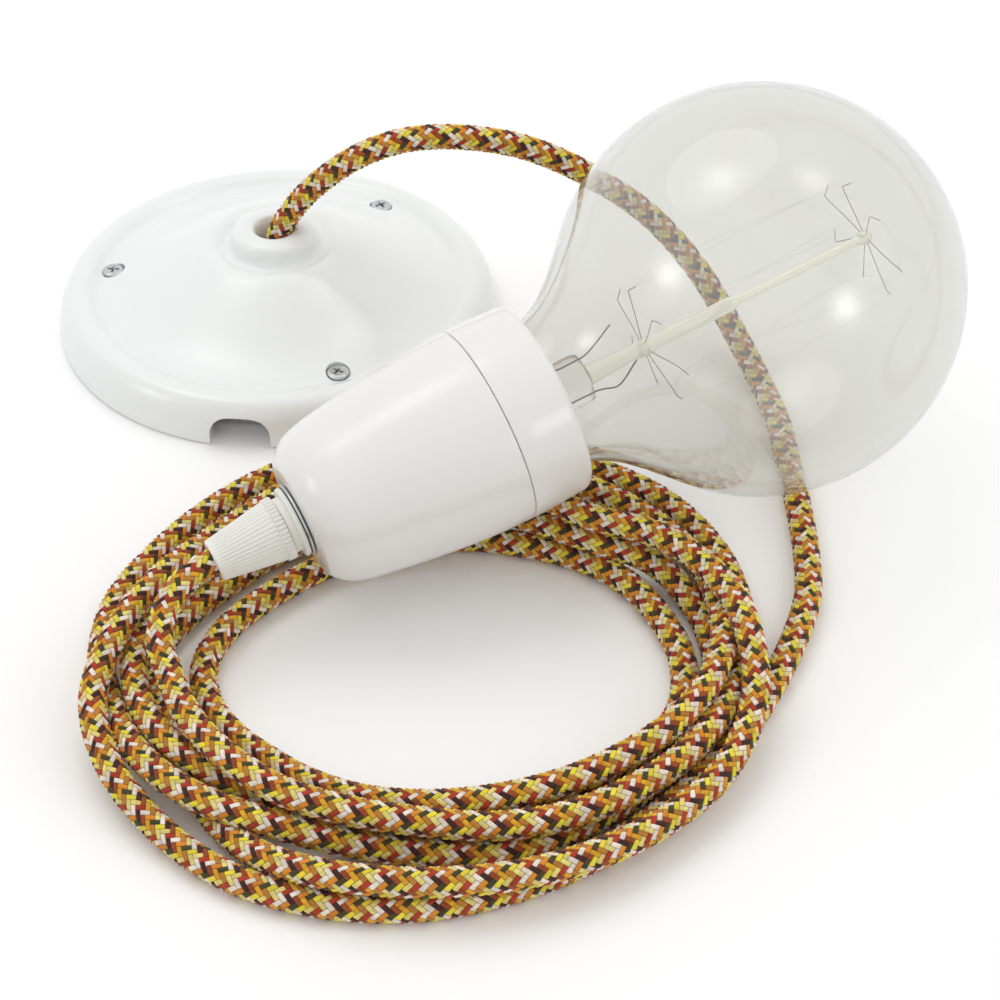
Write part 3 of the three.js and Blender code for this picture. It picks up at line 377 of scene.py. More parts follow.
def tube_mesh(name, path, radius, sides=12):
    """A round tube with closed ends along a path in millimetres."""
    path = np.asarray(path, float)
    points = (path[:, None] + radius * outward(path, sides)).reshape(-1, 3)
    points = np.vstack([points, path[:1], path[-1:]]) * MM
    faces = []
    for j in range(len(path) - 1):
        for i in range(sides):
            n = (i + 1) % sides
            faces.append([j * sides + i, j * sides + n, (j + 1) * sides + n, (j + 1) * sides + i])
    last = (len(path) - 1) * sides
    start, end = len(points) - 2, len(points) - 1
    for i in range(sides):
        n = (i + 1) % sides
        faces.append([start, n, i])
        faces.append([end, last + i, last + n])
    return new_mesh(name, points, faces)


def joined_mesh(name, meshes):
    """Several closed shells as one mesh."""
    points = []
    faces = []
    for mesh in meshes:
        base = len(points)
        points.extend(tuple(v.co) for v in mesh.vertices)
        faces.extend([base + k for k in face.vertices] for face in mesh.polygons)
        bpy.data.meshes.remove(mesh)
    return new_mesh(name, points, faces)


def add_object(name, data):
    thing = bpy.data.objects.new(name, data)
    bpy.context.scene.collection.objects.link(thing)
    return thing


def plain_copy(thing):
    """The object's mesh with its modifiers applied, and the object taken away."""
    bpy.context.view_layer.update()
    graph = bpy.context.evaluated_depsgraph_get()
    mesh = bpy.data.meshes.new_from_object(thing.evaluated_get(graph), depsgraph=graph)
    bpy.data.objects.remove(thing)
    return mesh


def cut_mesh(mesh, tools):
    """The mesh with each tool's volume taken out."""
    body = add_object("body", mesh)
    cutters = []
    for tool in tools:
        cutter = add_object("tool", tool)
        cutters.append(cutter)
        step = body.modifiers.new("cut", "BOOLEAN")
        step.operation = "DIFFERENCE"
        step.solver = "EXACT"
        step.object = cutter
    result = plain_copy(body)
    for cutter in cutters:
        bpy.data.objects.remove(cutter)
    return result


def add_piece(name, mesh, finish, place, body="root", replaces=(), sharp=38.0):
    """Sets a mesh in its place in the frame, with its finish, and hands it to the frame."""
    mesh.transform(place)
    mesh.name = name
    mesh.materials.clear()
    mesh.materials.append(finish)
    mesh.shade_smooth()
    if sharp:
        mesh.set_sharp_from_angle(angle=math.radians(sharp))
    piece = add_object(name, mesh)
    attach(piece, body)
    if replaces:
        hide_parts(*replaces)
    return piece


# Node graphs

class Graph:
    """Adds nodes to a tree, and links or sets their inputs by name or number."""

    def __init__(self, tree):
        self.tree = tree

    def add(self, kind, inputs=(), **settings):
        node = self.tree.nodes.new(kind)
        for key, value in settings.items():
            setattr(node, key, value)
        self.fill(node, dict(inputs))
        return node

    def fill(self, node, inputs):
        for key, value in inputs.items():
            self.put(node.inputs[key], value)

    def put(self, socket, value):
        if isinstance(value, bpy.types.NodeSocket):
            self.tree.links.new(value, socket)
        else:
            socket.default_value = value

    def math(self, operation, *values):
        node = self.add("ShaderNodeMath", enumerate(values), operation=operation)
        return node.outputs[0]

    def vector(self, x, y, z=0.0):
        return self.add("ShaderNodeCombineXYZ", {0: x, 1: y, 2: z}).outputs[0]

    def mix_colour(self, factor, first, second, blend="MIX"):
        inputs = {0: factor, 6: first, 7: second}
        return self.add("ShaderNodeMix", inputs, data_type="RGBA", blend_type=blend).outputs[2]

    def ramp(self, factor, stops, interpolation="LINEAR"):
        node = self.add("ShaderNodeValToRGB", {"Fac": factor})
        node.color_ramp.interpolation = interpolation
        elements = node.color_ramp.elements
        while len(elements) < len(stops):
            elements.new(1.0)
        for element, (position, colour) in zip(elements, stops):
            element.position = position
            element.color = colour
        return node.outputs[0]

    def noise(self, where, scale, detail=3.0, roughness=0.5):
        inputs = {"Vector": where, "Scale": scale, "Detail": detail, "Roughness": roughness}
        return self.add("ShaderNodeTexNoise", inputs).outputs[0]

    def bump(self, height, strength, distance):
        inputs = {"Height": height, "Strength": strength, "Distance": distance * MM}
        return self.add("ShaderNodeBump", inputs).outputs[0]


def new_material(name):
    material = bpy.data.materials.new(name)
    material.use_nodes = True
    graph = Graph(material.node_tree)
    shader = material.node_tree.nodes["Principled BSDF"]
    return material, graph, shader


def solid_finish(name, colour, roughness, mottle=0.03, mottle_scale=60.0,
                 rough_spread=0.05, bump=0.0, bump_scale=400.0, coat=0.0):
    """A hard surface with a slight mottle in its colour and shine, and fine unevenness."""
    material, graph, shader = new_material(name)
    where = graph.add("ShaderNodeTexCoord").outputs["Object"]
    base = linear(colour)
    dark = tuple(v * (1 - mottle) for v in base[:3]) + (1.0,)
    slow = graph.noise(where, mottle_scale, 4.0)
    quick = graph.noise(where, mottle_scale * 5, 3.0)
    graph.fill(shader, {
        "Base Color": graph.ramp(slow, [(0.3, dark), (0.7, base)]),
        "Roughness": graph.math("MULTIPLY_ADD", quick, 2 * rough_spread, roughness - rough_spread),
        "Coat Weight": coat, "Coat Roughness": 0.12,
    })
    if bump:
        height = graph.noise(where, bump_scale, 2.0)
        graph.put(shader.inputs["Normal"], graph.bump(height, 0.5, bump))
    return material


def brushed_finish(name, colour, roughness, streak_scale=(900.0, 900.0, 40.0)):
    """Metal with fine lines and a slightly uneven shine."""
    material, graph, shader = new_material(name)
    where = graph.add("ShaderNodeTexCoord").outputs["Object"]
    stretch = graph.add("ShaderNodeMapping", {"Vector": where, "Scale": streak_scale}).outputs[0]
    lines = graph.noise(stretch, 1.0, 3.0)
    base = linear(colour)
    dark = tuple(v * 0.82 for v in base[:3]) + (1.0,)
    graph.fill(shader, {
        "Base Color": graph.ramp(lines, [(0.25, dark), (0.75, base)]),
        "Roughness": graph.math("MULTIPLY_ADD", lines, 0.16, roughness - 0.08),
        "Metallic": 1.0, "Normal": graph.bump(lines, 0.25, 0.02),
    })
    return material


def glass_finish(name, tint, clearness, shadow=0.1, waviness=0.02):
    """Blown glass with a faint bloom, a little wavy, which lets the lamps' light through."""
    material, graph, shader = new_material(name)
    where = graph.add("ShaderNodeTexCoord").outputs["Object"]
    base = linear(tint)
    dark = tuple(v * 0.98 for v in base[:3]) + (1.0,)
    graph.fill(shader, {
        "Base Color": graph.ramp(graph.noise(where, 30.0, 2.0), [(0.2, dark), (0.8, base)]),
        "Transmission Weight": clearness, "IOR": 1.46, "Roughness": 0.0,
        "Normal": graph.bump(graph.noise(where, 45.0, 1.0), 0.3, waviness),
    })
    rays = graph.add("ShaderNodeLightPath").outputs["Is Shadow Ray"]
    clear = 1 - shadow
    veil = graph.add("ShaderNodeBsdfTransparent", {"Color": (clear, clear, clear, 1.0)})
    mix = graph.add("ShaderNodeMixShader", {0: rays, 1: shader.outputs[0], 2: veil.outputs[0]})
    out = material.node_tree.nodes["Material Output"]
    graph.put(out.inputs["Surface"], mix.outputs[0])
    return material


def braid_finish():
    """Two sets of twelve strands that pass over two and under two of each other.
    The cord's UV map runs once round it and, along it, once for each full turn of a strand."""
    material, graph, shader = new_material("braided cotton in many colours")
    m = graph.math
    uv = graph.add("ShaderNodeUVMap", uv_map="braid").outputs[0]
    split = graph.add("ShaderNodeSeparateXYZ", {0: uv})
    around = m("MULTIPLY", split.outputs[0], float(BRAID_COLUMNS))
    along = m("MULTIPLY", split.outputs[1], float(BRAID_COLUMNS))
    right_place = m("SUBTRACT", along, around)
    left_place = m("ADD", along, around)
    right_no, left_no = m("FLOOR", right_place), m("FLOOR", left_place)
    right_part, left_part = m("FRACT", right_place), m("FRACT", left_place)
    weave = m("FLOORED_MODULO", m("SUBTRACT", left_no, right_no), 4.0)
    left = m("GREATER_THAN", weave, 1.5)
    right_colour = strand_colour(graph, right_no, RIGHT_STRANDS)
    left_colour = strand_colour(graph, left_no, LEFT_STRANDS)
    colour = graph.mix_colour(left, right_colour, left_colour)
    # Where the point lies on the strand: across its width, and along the two crossings it covers
    width = pick_value(graph, left, right_part, left_part)
    right_run = m("ADD", left_part, m("COMPARE", weave, 1.0, 0.1))
    left_run = m("ADD", right_part, m("COMPARE", weave, 2.0, 0.1))
    run = pick_value(graph, left, right_run, left_run)
    strand = pick_value(graph, left, right_no, m("ADD", left_no, 0.5))
    other = pick_value(graph, left, left_no, right_no)
    # Single fibres run along each strand
    fibre_place = graph.vector(m("MULTIPLY_ADD", run, 0.7, m("MULTIPLY", other, 1.7)),
                               m("MULTIPLY_ADD", width, 6.0, m("MULTIPLY", strand, 11.3)),
                               m("MULTIPLY", left, 5.0))
    fibres = graph.noise(fibre_place, 1.0, 3.0, 0.6)
    patch = graph.vector(strand, m("FLOOR", m("DIVIDE", other, 2.0)), left)
    worn = graph.add("ShaderNodeTexWhiteNoise", {"Vector": patch}).outputs["Value"]
    # A strand is round across its width, and dips under the next ones at both ends
    off_middle = m("ABSOLUTE", m("MULTIPLY_ADD", width, 2.0, -1.0))
    off_centre = m("ABSOLUTE", m("SUBTRACT", run, 1.0))
    round_width = m("SUBTRACT", 1.0, m("POWER", off_middle, 2.4))
    round_run = m("SUBTRACT", 1.0, m("POWER", off_centre, 5.0))
    height = m("POWER", m("MULTIPLY", round_width, round_run), 0.5)
    # Painted shade: the colour darkens towards each strand's edges and ends, where it sinks into the gaps
    # under its neighbours
    painted_gap_shade = m("MULTIPLY_ADD", m("MINIMUM", m("MULTIPLY", height, 1.45), 1.0), 0.8, 0.2)
    shade = m("MULTIPLY", painted_gap_shade, m("MULTIPLY_ADD", fibres, 0.67, 0.65))
    shade = m("MULTIPLY", shade, m("MULTIPLY_ADD", worn, 0.3, 0.82))
    grey = graph.vector(shade, shade, shade)
    relief_height = m("ADD", height, m("MULTIPLY", fibres, 0.4))
    graph.fill(shader, {
        "Base Color": graph.mix_colour(1.0, colour, grey, "MULTIPLY"), "Roughness": 0.88,
        "Sheen Weight": 0.1, "Sheen Roughness": 0.5, "Normal": graph.bump(relief_height, 0.8, 0.25),
    })
    return material


def strand_colour(graph, number, colours):
    """The colour of a strand by its number, in a repeating set."""
    count = float(len(colours))
    pick = graph.math("FLOORED_MODULO", number, count)
    share = graph.math("DIVIDE", graph.math("ADD", pick, 0.5), count)
    stops = [(i / count, linear(code)) for i, code in enumerate(colours)]
    return graph.ramp(share, stops, "CONSTANT")


def pick_value(graph, chooser, first, second):
    """The first value where the chooser is 0, and the second where it is 1."""
    return graph.math("MULTIPLY_ADD", chooser, graph.math("SUBTRACT", second, first), first)


# Geometry Nodes

def new_node_group(name, count, sizes):
    """A geometry tree with a count and sizes as named inputs, and its graph, inputs and output."""
    tree = bpy.data.node_groups.new(name, "GeometryNodeTree")
    tree.interface.new_socket("Geometry", in_out="INPUT", socket_type="NodeSocketGeometry")
    tree.interface.new_socket(count, in_out="INPUT", socket_type="NodeSocketInt")
    for label in sizes:
        tree.interface.new_socket(label, in_out="INPUT", socket_type="NodeSocketFloat")
    tree.interface.new_socket("Geometry", in_out="OUTPUT", socket_type="NodeSocketGeometry")
    graph = Graph(tree)
    return tree, graph, graph.add("NodeGroupInput").outputs, graph.add("NodeGroupOutput")


def close_tree(graph, geometry, finish, output):
    """Ends a tree with real meshes that carry the finish."""
    real = graph.add("GeometryNodeRealizeInstances", {"Geometry": geometry})
    painted = graph.add("GeometryNodeSetMaterial", {"Geometry": real.outputs[0]})
    painted.inputs["Material"].default_value = finish
    graph.put(output.inputs[0], painted.outputs[0])


def run_tree(tree, mesh, values):
    """The mesh after the tree has worked on it, with the tree's named inputs set."""
    thing = add_object("work", mesh)
    step = thing.modifiers.new("shape", "NODES")
    step.node_group = tree
    for item in tree.interface.items_tree:
        if item.in_out == "INPUT" and item.name in values:
            step[item.identifier] = values[item.name]
    return plain_copy(thing)


def ring_of_copies_tree(name, finish):
    """Copies of a mesh at even angles on a circle, each a little turned or smaller."""
    tree, graph, given, output = new_node_group(
        name, "Count", ["Circle Radius", "First Angle", "Turn per Copy", "Shrink per Copy"])
    m = graph.math
    index = graph.add("GeometryNodeInputIndex").outputs[0]
    step = m("DIVIDE", 2 * math.pi, given["Count"])
    angle = m("MULTIPLY_ADD", index, step, given["First Angle"])
    radius = given["Circle Radius"]
    where = graph.vector(m("MULTIPLY", radius, m("COSINE", angle)), m("MULTIPLY", radius, m("SINE", angle)))
    turn = m("MULTIPLY_ADD", index, given["Turn per Copy"], angle)
    smaller = m("MULTIPLY", m("MODULO", index, 3.0), given["Shrink per Copy"])
    size = m("SUBTRACT", 1.0, smaller)
    points = graph.add("GeometryNodePoints", {"Count": given["Count"], "Position": where})
    copies = graph.add("GeometryNodeInstanceOnPoints", {
        "Points": points.outputs[0], "Instance": given["Geometry"],
        "Rotation": graph.vector(0.0, 0.0, turn), "Scale": graph.vector(size, size, size),
    })
    close_tree(graph, copies.outputs[0], finish, output)
    return tree


def ribs_tree(name, finish):
    """Ribs along a turned piece, with grooves between them from one height to another. The piece
    stays as it is inside the least radius."""
    tree, graph, given, output = new_node_group(
        name, "Rib Count",
        ["Groove Depth", "Sharpness", "From Height", "To Height", "Fade", "Least Radius"])
    m = graph.math
    place = graph.add("GeometryNodeInputPosition").outputs[0]
    split = graph.add("ShaderNodeSeparateXYZ", {0: place})
    x, y, z = split.outputs
    angle = m("ARCTAN2", y, x)
    wave = m("COSINE", m("MULTIPLY", angle, given["Rib Count"]))
    groove = m("POWER", m("MULTIPLY_ADD", wave, -0.5, 0.5), given["Sharpness"])
    radius = m("SQRT", m("ADD", m("MULTIPLY", x, x), m("MULTIPLY", y, y)))
    after = m("DIVIDE", m("SUBTRACT", z, given["From Height"]), given["Fade"])
    before = m("DIVIDE", m("SUBTRACT", given["To Height"], z), given["Fade"])
    within = m("MAXIMUM", m("MINIMUM", m("MINIMUM", after, before), 1.0), 0.0)
    outside = m("GREATER_THAN", radius, given["Least Radius"])
    depth = m("MULTIPLY", groove, given["Groove Depth"])
    sink = m("MULTIPLY", depth, m("MULTIPLY", within, outside))
    share = m("DIVIDE", m("SUBTRACT", 0.0, sink), m("MAXIMUM", radius, 1e-6))
    offset = graph.vector(m("MULTIPLY", x, share), m("MULTIPLY", y, share))
    moved = graph.add("GeometryNodeSetPosition", {"Geometry": given["Geometry"], "Offset": offset})
    close_tree(graph, moved.outputs[0], finish, output)
    return tree


# The frame, and where the layout lies in it
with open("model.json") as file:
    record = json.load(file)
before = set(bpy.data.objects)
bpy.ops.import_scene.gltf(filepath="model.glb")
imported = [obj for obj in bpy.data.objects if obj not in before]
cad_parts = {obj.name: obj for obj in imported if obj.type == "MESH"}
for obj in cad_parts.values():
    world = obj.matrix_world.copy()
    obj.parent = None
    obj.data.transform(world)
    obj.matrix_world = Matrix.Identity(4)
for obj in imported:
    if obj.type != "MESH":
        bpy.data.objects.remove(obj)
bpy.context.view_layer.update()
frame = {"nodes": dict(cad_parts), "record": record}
rose_low, rose_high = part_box("ceiling_rose")
rose_axis = (rose_low + rose_high) / 2
SHIFT = Vector((rose_axis.x - ROSE_CENTRE[0] * MM, rose_axis.y - ROSE_CENTRE[1] * MM, 0))
LAYOUT = Matrix.Translation(SHIFT)
ROSE = Matrix.Translation(SHIFT + Vector((ROSE_CENTRE[0] * MM, ROSE_CENTRE[1] * MM, 0)))


def head_matrix():
    """The lamp holder's own axes: left, up and along, as in the part's source."""
    heading = math.radians(HEAD_HEADING)
    rise = math.radians(HEAD_RISE)
    along = Vector((math.cos(rise) * math.cos(heading), math.cos(rise) * math.sin(heading), math.sin(rise)))
    left = Vector((-math.sin(heading), math.cos(heading), 0))
    up = along.cross(left)
    start = Vector(GLOBE_CENTRE) - along * GLOBE_REACH
    turn = Matrix((left, up, along)).transposed().to_4x4()
    return Matrix.Translation(SHIFT + start * MM) @ turn


HEAD = head_matrix()

# Camera at the photograph's angle, aimed at the layout's origin
camera = add_object("camera", bpy.data.cameras.new("camera"))
camera.data.sensor_width = 36.0
camera.data.lens = CAMERA_LENS
camera.data.clip_start = 0.01
camera.data.clip_end = 20.0
tilt = math.radians(CAMERA_ELEVATION)
camera.location = SHIFT + Vector((0, -math.cos(tilt), math.sin(tilt))) * CAMERA_DISTANCE * MM
camera.rotation_euler = (math.pi / 2 - tilt, 0, 0)
bpy.context.scene.camera = camera


# Cord

def cord_route():
    """The cord's centreline on the layout, in millimetres, from the rose to the grip."""
    points = [np.array(p, float) for p in CORD_RISE]
    for turn in COIL_TURNS:
        for step, (radius, height) in enumerate(turn):
            spot = polar(radius, -360 * step / COIL_STEPS, height)
            points.append(spot + np.array([*COIL_CENTRE, 0]))
    inverse = LAYOUT.inverted()
    mouth = np.array(inverse @ (HEAD @ Vector((0, 0, CAP_END * MM)))) / MM
    inside = np.array(inverse @ (HEAD @ Vector((0, 0, (CAP_END + CORD_IN_GRIP) * MM)))) / MM
    points.extend(mouth + np.array(offset) for offset in CORD_TAIL)
    points.append(inside)
    line = smooth_curve(points, 24)
    # Between its points the curve may dip a little, and the cord can't go into the floor
    line[:, 2] = np.maximum(line[:, 2], CORD_RADIUS)
    return line


def cord_mesh(route):
    """A tube whose grid follows the braid. Its points lie in turn on the middle of a crossing,
    which stands proud, and on a corner between strands, which is sunk."""
    sides = 2 * BRAID_COLUMNS
    rings = len(route)
    ring_no, side_no = np.meshgrid(np.arange(rings), np.arange(sides), indexing="ij")
    proud = (ring_no + side_no) % 2 == 1
    reach = np.where(proud, CORD_RADIUS, CORD_RADIUS - BRAID_SINK)[:, :, None]
    points = (route[:, None] + reach * outward(route, sides)).reshape(-1, 3)
    points = np.vstack([points, route[:1], route[-1:]]) * MM
    ring_no, side_no, proud = ring_no[:-1], side_no[:-1], proud[:-1]
    here = ring_no * sides + side_no
    beside = ring_no * sides + (side_no + 1) % sides
    corners = [here, beside, here + sides, beside + sides]
    marks = [(0, 0), (1, 0), (0, 1), (1, 1)]
    # Each square is split along the strand that runs over it, or along the edge between two
    right_no = np.floor_divide(ring_no - side_no, 2)
    left_no = np.floor_divide(ring_no + side_no, 2)
    weave = (left_no - right_no) % 4
    rising = np.where(proud, weave == 1, weave != 2)
    halves = ((rising, [(0, 1, 3), (0, 3, 2)]), (~rising, [(0, 1, 2), (1, 3, 2)]))
    faces = []
    uvs = []
    for chosen, triples in halves:
        for triple in triples:
            faces.append(np.stack([corners[k][chosen] for k in triple], axis=1))
            spots = [np.stack([(side_no[chosen] + marks[k][0]) / sides,
                               (ring_no[chosen] + marks[k][1]) / sides], axis=1) for k in triple]
            uvs.append(np.stack(spots, axis=1))
    last = (rings - 1) * sides
    around = np.arange(sides)
    ahead = (around + 1) % sides
    start, end = len(points) - 2, len(points) - 1
    for triangle, row in (((np.full(sides, start), ahead, around), 0),
                          ((np.full(sides, end), last + around, last + ahead), rings - 1)):
        faces.append(np.stack(triangle, axis=1))
        flat = np.stack([around / sides, np.full(sides, row / sides)], axis=1)
        uvs.append(np.stack([flat, flat, flat], axis=1))
    mesh = bpy.data.meshes.new("cord")
    mesh.from_pydata(points.tolist(), [], np.vstack(faces).tolist())
    layer = mesh.uv_layers.new(name="braid")
    layer.data.foreach_set("uv", np.vstack(uvs).reshape(-1).astype(np.float32))
    mesh.update()
    return mesh


smooth_route = cord_route()
cell_count = round(line_length(smooth_route) / BRAID_PITCH)
route = even_steps(smooth_route, 2 * cell_count + 1)
braid = braid_finish()
cord = add_piece("braided_cord", cord_mesh(route), braid, LAYOUT,
                 replaces=("cord_rise", "cord_tail", "cord_coil"), sharp=0)

# Finishes
GLAZE_LOOK = {"roughness": 0.24, "mottle": 0.02, "mottle_scale": 25.0, "rough_spread": 0.03,
              "bump": 0.03, "bump_scale": 120.0, "coat": 0.45}
PLASTIC_LOOK = {"mottle": 0.03, "bump": 0.02, "bump_scale": 1500.0}
FINE_STREAKS = (3000.0, 3000.0, 3000.0)
glaze = solid_finish("glazed white porcelain", PORCELAIN_WHITE, **GLAZE_LOOK)
warm_glaze = solid_finish("glazed warm white porcelain", HOLDER_WHITE, **GLAZE_LOOK)
cream = solid_finish("cream moulded plastic", CREAM_WHITE, 0.46, **PLASTIC_LOOK)
white = solid_finish("white moulded plastic", PLASTIC_WHITE, 0.45, **PLASTIC_LOOK)
ceramic = solid_finish("unglazed ceramic", CERAMIC_CREAM, 0.7, mottle=0.08, bump=0.05, bump_scale=2500.0)
black = solid_finish("black glass insulator", GLASS_BLACK, 0.22, mottle=0.2)
brown = solid_finish("brown core insulation", SLEEVE_BROWN, 0.5, mottle=0.1)
blue = solid_finish("blue core insulation", SLEEVE_BLUE, 0.5, mottle=0.1)
zinc = brushed_finish("zinc-plated steel", ZINC_GREY, 0.34)
brass = brushed_finish("bare brass", BRASS_YELLOW, 0.32)
nickel = brushed_finish("nickel-plated sheet", NICKEL_GREY, 0.3)
wire = brushed_finish("grey wire", WIRE_GREY, 0.42, FINE_STREAKS)
lead = brushed_finish("dark lead wire", LEAD_GREY, 0.45, FINE_STREAKS)
globe_glass = glass_finish("clear globe glass", GLOBE_TINT, 0.955)
stem_glass = glass_finish("clear stem glass", GLOBE_TINT, 0.97, shadow=0.2)
rod_glass = glass_finish("pale rod glass", ROD_TINT, 0.6, shadow=0.2)


# Ceiling rose

def ease(share):
    """Rises from 0 to 1 with a level start and a level end."""
    return 0.5 - 0.5 * math.cos(math.pi * share)


def rose_profile():
    """Rim, valley, dome, stepped boss and cord hole, then back along the hollow inside."""
    rim = ROSE_RADIUS - 6.4
    outer = [
        (ROSE_RADIUS, 0.9), (ROSE_RADIUS - 0.02, 2.6), (ROSE_RADIUS - 0.2, ROSE_RIM_HEIGHT * 0.4),
        (ROSE_RADIUS - 1.3, ROSE_RIM_HEIGHT * 0.7), (ROSE_RADIUS - 3.4, ROSE_RIM_HEIGHT * 0.93),
        (rim + 0.6, ROSE_RIM_HEIGHT), (rim - 1.4, ROSE_RIM_HEIGHT - 0.3),
        (ROSE_VALLEY_RADIUS, ROSE_VALLEY_HEIGHT),
    ]
    start, run = 0.1, 0.62
    for step in range(1, 13):
        share = step / 12
        radius = (ROSE_VALLEY_RADIUS - 2) * (1 - share) + (SHOULDER_RADIUS + 1.6) * share
        lift = ease(start + run * share) / ease(start + run)
        height = ROSE_VALLEY_HEIGHT + (SHOULDER_HEIGHT - 0.5 - ROSE_VALLEY_HEIGHT) * lift
        outer.append((radius, height))
    outer += [
        (SHOULDER_RADIUS - 0.4, SHOULDER_HEIGHT), (SHOULDER_RADIUS - 1.8, SHOULDER_HEIGHT - 0.2),
        (BOSS_RADIUS + 2.3, SHOULDER_HEIGHT - 1.5), (BOSS_RADIUS + 0.8, SHOULDER_HEIGHT - 1.1),
        (BOSS_RADIUS + 0.15, SHOULDER_HEIGHT + 0.2), (BOSS_RADIUS, BOSS_HEIGHT - 2.6),
        (BOSS_RADIUS - 0.9, BOSS_HEIGHT - 0.8), (BOSS_RADIUS - 2.8, BOSS_HEIGHT),
        (CORD_HOLE_RADIUS + 0.8, BOSS_HEIGHT - 0.25), (CORD_HOLE_RADIUS, BOSS_HEIGHT - 1.5),
    ]
    skin = smooth_profile(outer).tolist()
    inner = [
        (CORD_HOLE_RADIUS, SHOULDER_HEIGHT - ROSE_WALL),
        (SHOULDER_RADIUS - 0.6, SHOULDER_HEIGHT - ROSE_WALL),
        (SHOULDER_RADIUS + 10, ROSE_VALLEY_HEIGHT + 4.2),
        (ROSE_VALLEY_RADIUS - 6, ROSE_VALLEY_HEIGHT - 3),
        (ROSE_RADIUS - ROSE_WALL - 3.4, ROSE_VALLEY_HEIGHT - 3.2),
        (ROSE_RADIUS - ROSE_WALL - 1, ROSE_VALLEY_HEIGHT - 5),
        (ROSE_RADIUS - ROSE_WALL - 0.6, 0.3), (ROSE_RADIUS - ROSE_WALL - 0.2, 0.0),
        (ROSE_RADIUS - 0.9, 0.0), (ROSE_RADIUS - 0.25, 0.25),
    ]
    return skin + inner


def notch_mesh():
    """The arched cable way, as a solid to take out of the rim."""
    half = NOTCH_WIDTH / 2
    arch = [(-half, -1.0), (half, -1.0)]
    for step in range(25):
        angle = math.pi * step / 24
        x = half * math.copysign(abs(math.cos(angle)) ** 0.62, math.cos(angle))
        arch.append((x, NOTCH_HEIGHT * 0.3 + NOTCH_HEIGHT * 0.7 * math.sin(angle) ** 0.8))
    turn = math.radians(NOTCH_ANGLE)
    points = []
    for reach in (BRACKET_RADIUS, ROSE_RADIUS + 6):
        for x, z in arch:
            points.append((
                (reach * math.cos(turn) - x * math.sin(turn)) * MM,
                (reach * math.sin(turn) + x * math.cos(turn)) * MM, z * MM))
    count = len(arch)
    faces = [list(range(count))[::-1], list(range(count, 2 * count))]
    for k in range(count):
        n = (k + 1) % count
        faces.append([k, n, count + n, count + k])
    return new_mesh("notch", points, faces)


def make_rose():
    tools = [notch_mesh()]
    bore = SCREW_SHANK_RADIUS + 0.4
    well = SCREW_HEAD_RADIUS + CLEARANCE
    for index in range(SCREW_COUNT):
        x, y, _ = polar(SCREW_CIRCLE_RADIUS, SCREW_FIRST_ANGLE + 360 / SCREW_COUNT * index) * MM
        hole = [(0, -1), (bore, -1), (bore, SCREW_SEAT_HEIGHT), (well, SCREW_SEAT_HEIGHT),
                (well, BOSS_HEIGHT), (0, BOSS_HEIGHT)]
        tool = turned_mesh("seat", hole, 32)
        tool.transform(Matrix.Translation((x, y, 0)))
        tools.append(tool)
    shell = cut_mesh(turned_mesh("rose", rose_profile(), 192), tools)
    add_piece("porcelain_rose", shell, glaze, ROSE, replaces=("ceiling_rose",))


def make_rose_screws():
    """Cross-head screws, three round the rose."""
    seat = SCREW_SEAT_HEIGHT + CLEARANCE
    top = seat + SCREW_HEAD_HEIGHT
    shank = SCREW_SHANK_RADIUS - 0.2
    screw = turned_mesh("screw", rounded([
        (0, SCREW_FOOT, 0), (shank, SCREW_FOOT, 0.1), (shank, seat, 0),
        (SCREW_HEAD_RADIUS, seat, 0.1), (SCREW_HEAD_RADIUS, top - 0.4, 0.3),
        (SCREW_HEAD_RADIUS * 0.8, top - 0.05, 0.6), (0, top, 0)]), 40)
    arm = SCREW_HEAD_RADIUS * 0.6 * MM
    thin = SCREW_HEAD_RADIUS * 0.13 * MM
    low, high = (top - 0.95) * MM, (top + 1) * MM
    tools = []
    taper, spread = 0.55, 1.35
    for wide, deep in ((arm, thin), (thin, arm)):
        around = ((-1, -1), (1, -1), (1, 1), (-1, 1))
        corners = [(sx * wide * taper, sy * deep * taper, low) for sx, sy in around]
        corners += [(sx * wide * spread, sy * deep * spread, high) for sx, sy in around]
        sides = [[0, 3, 2, 1], [4, 5, 6, 7], [0, 1, 5, 4], [1, 2, 6, 5], [2, 3, 7, 6], [3, 0, 4, 7]]
        tools.append(new_mesh("cross", corners, sides))
    screw = cut_mesh(screw, tools)
    tree = ring_of_copies_tree("screws round the rose", zinc)
    screws = run_tree(tree, screw, {
        "Count": SCREW_COUNT, "Circle Radius": SCREW_CIRCLE_RADIUS * MM,
        "First Angle": math.radians(SCREW_FIRST_ANGLE), "Turn per Copy": math.radians(35.0),
        "Shrink per Copy": 0.0,
    })
    add_piece("rose_screws", screws, zinc, ROSE,
              replaces=[f"rose_screw_{i + 1}" for i in range(SCREW_COUNT)], sharp=30)


# Lamp holder

def dome_radius(height):
    share = (height - HOLDER_SHOULDER_LENGTH) / (HOLDER_SEAM - HOLDER_SHOULDER_LENGTH)
    swell = math.sin(share * math.pi / 2)
    return HOLDER_SHOULDER_RADIUS + (HOLDER_RADIUS - HOLDER_SHOULDER_RADIUS) * swell


def add_turned(name, profile, segments, finish, node):
    """A turned piece on the lamp holder's axis."""
    mesh = turned_mesh(name, profile, segments)
    add_piece(name, mesh, finish, HEAD, replaces=(node,))


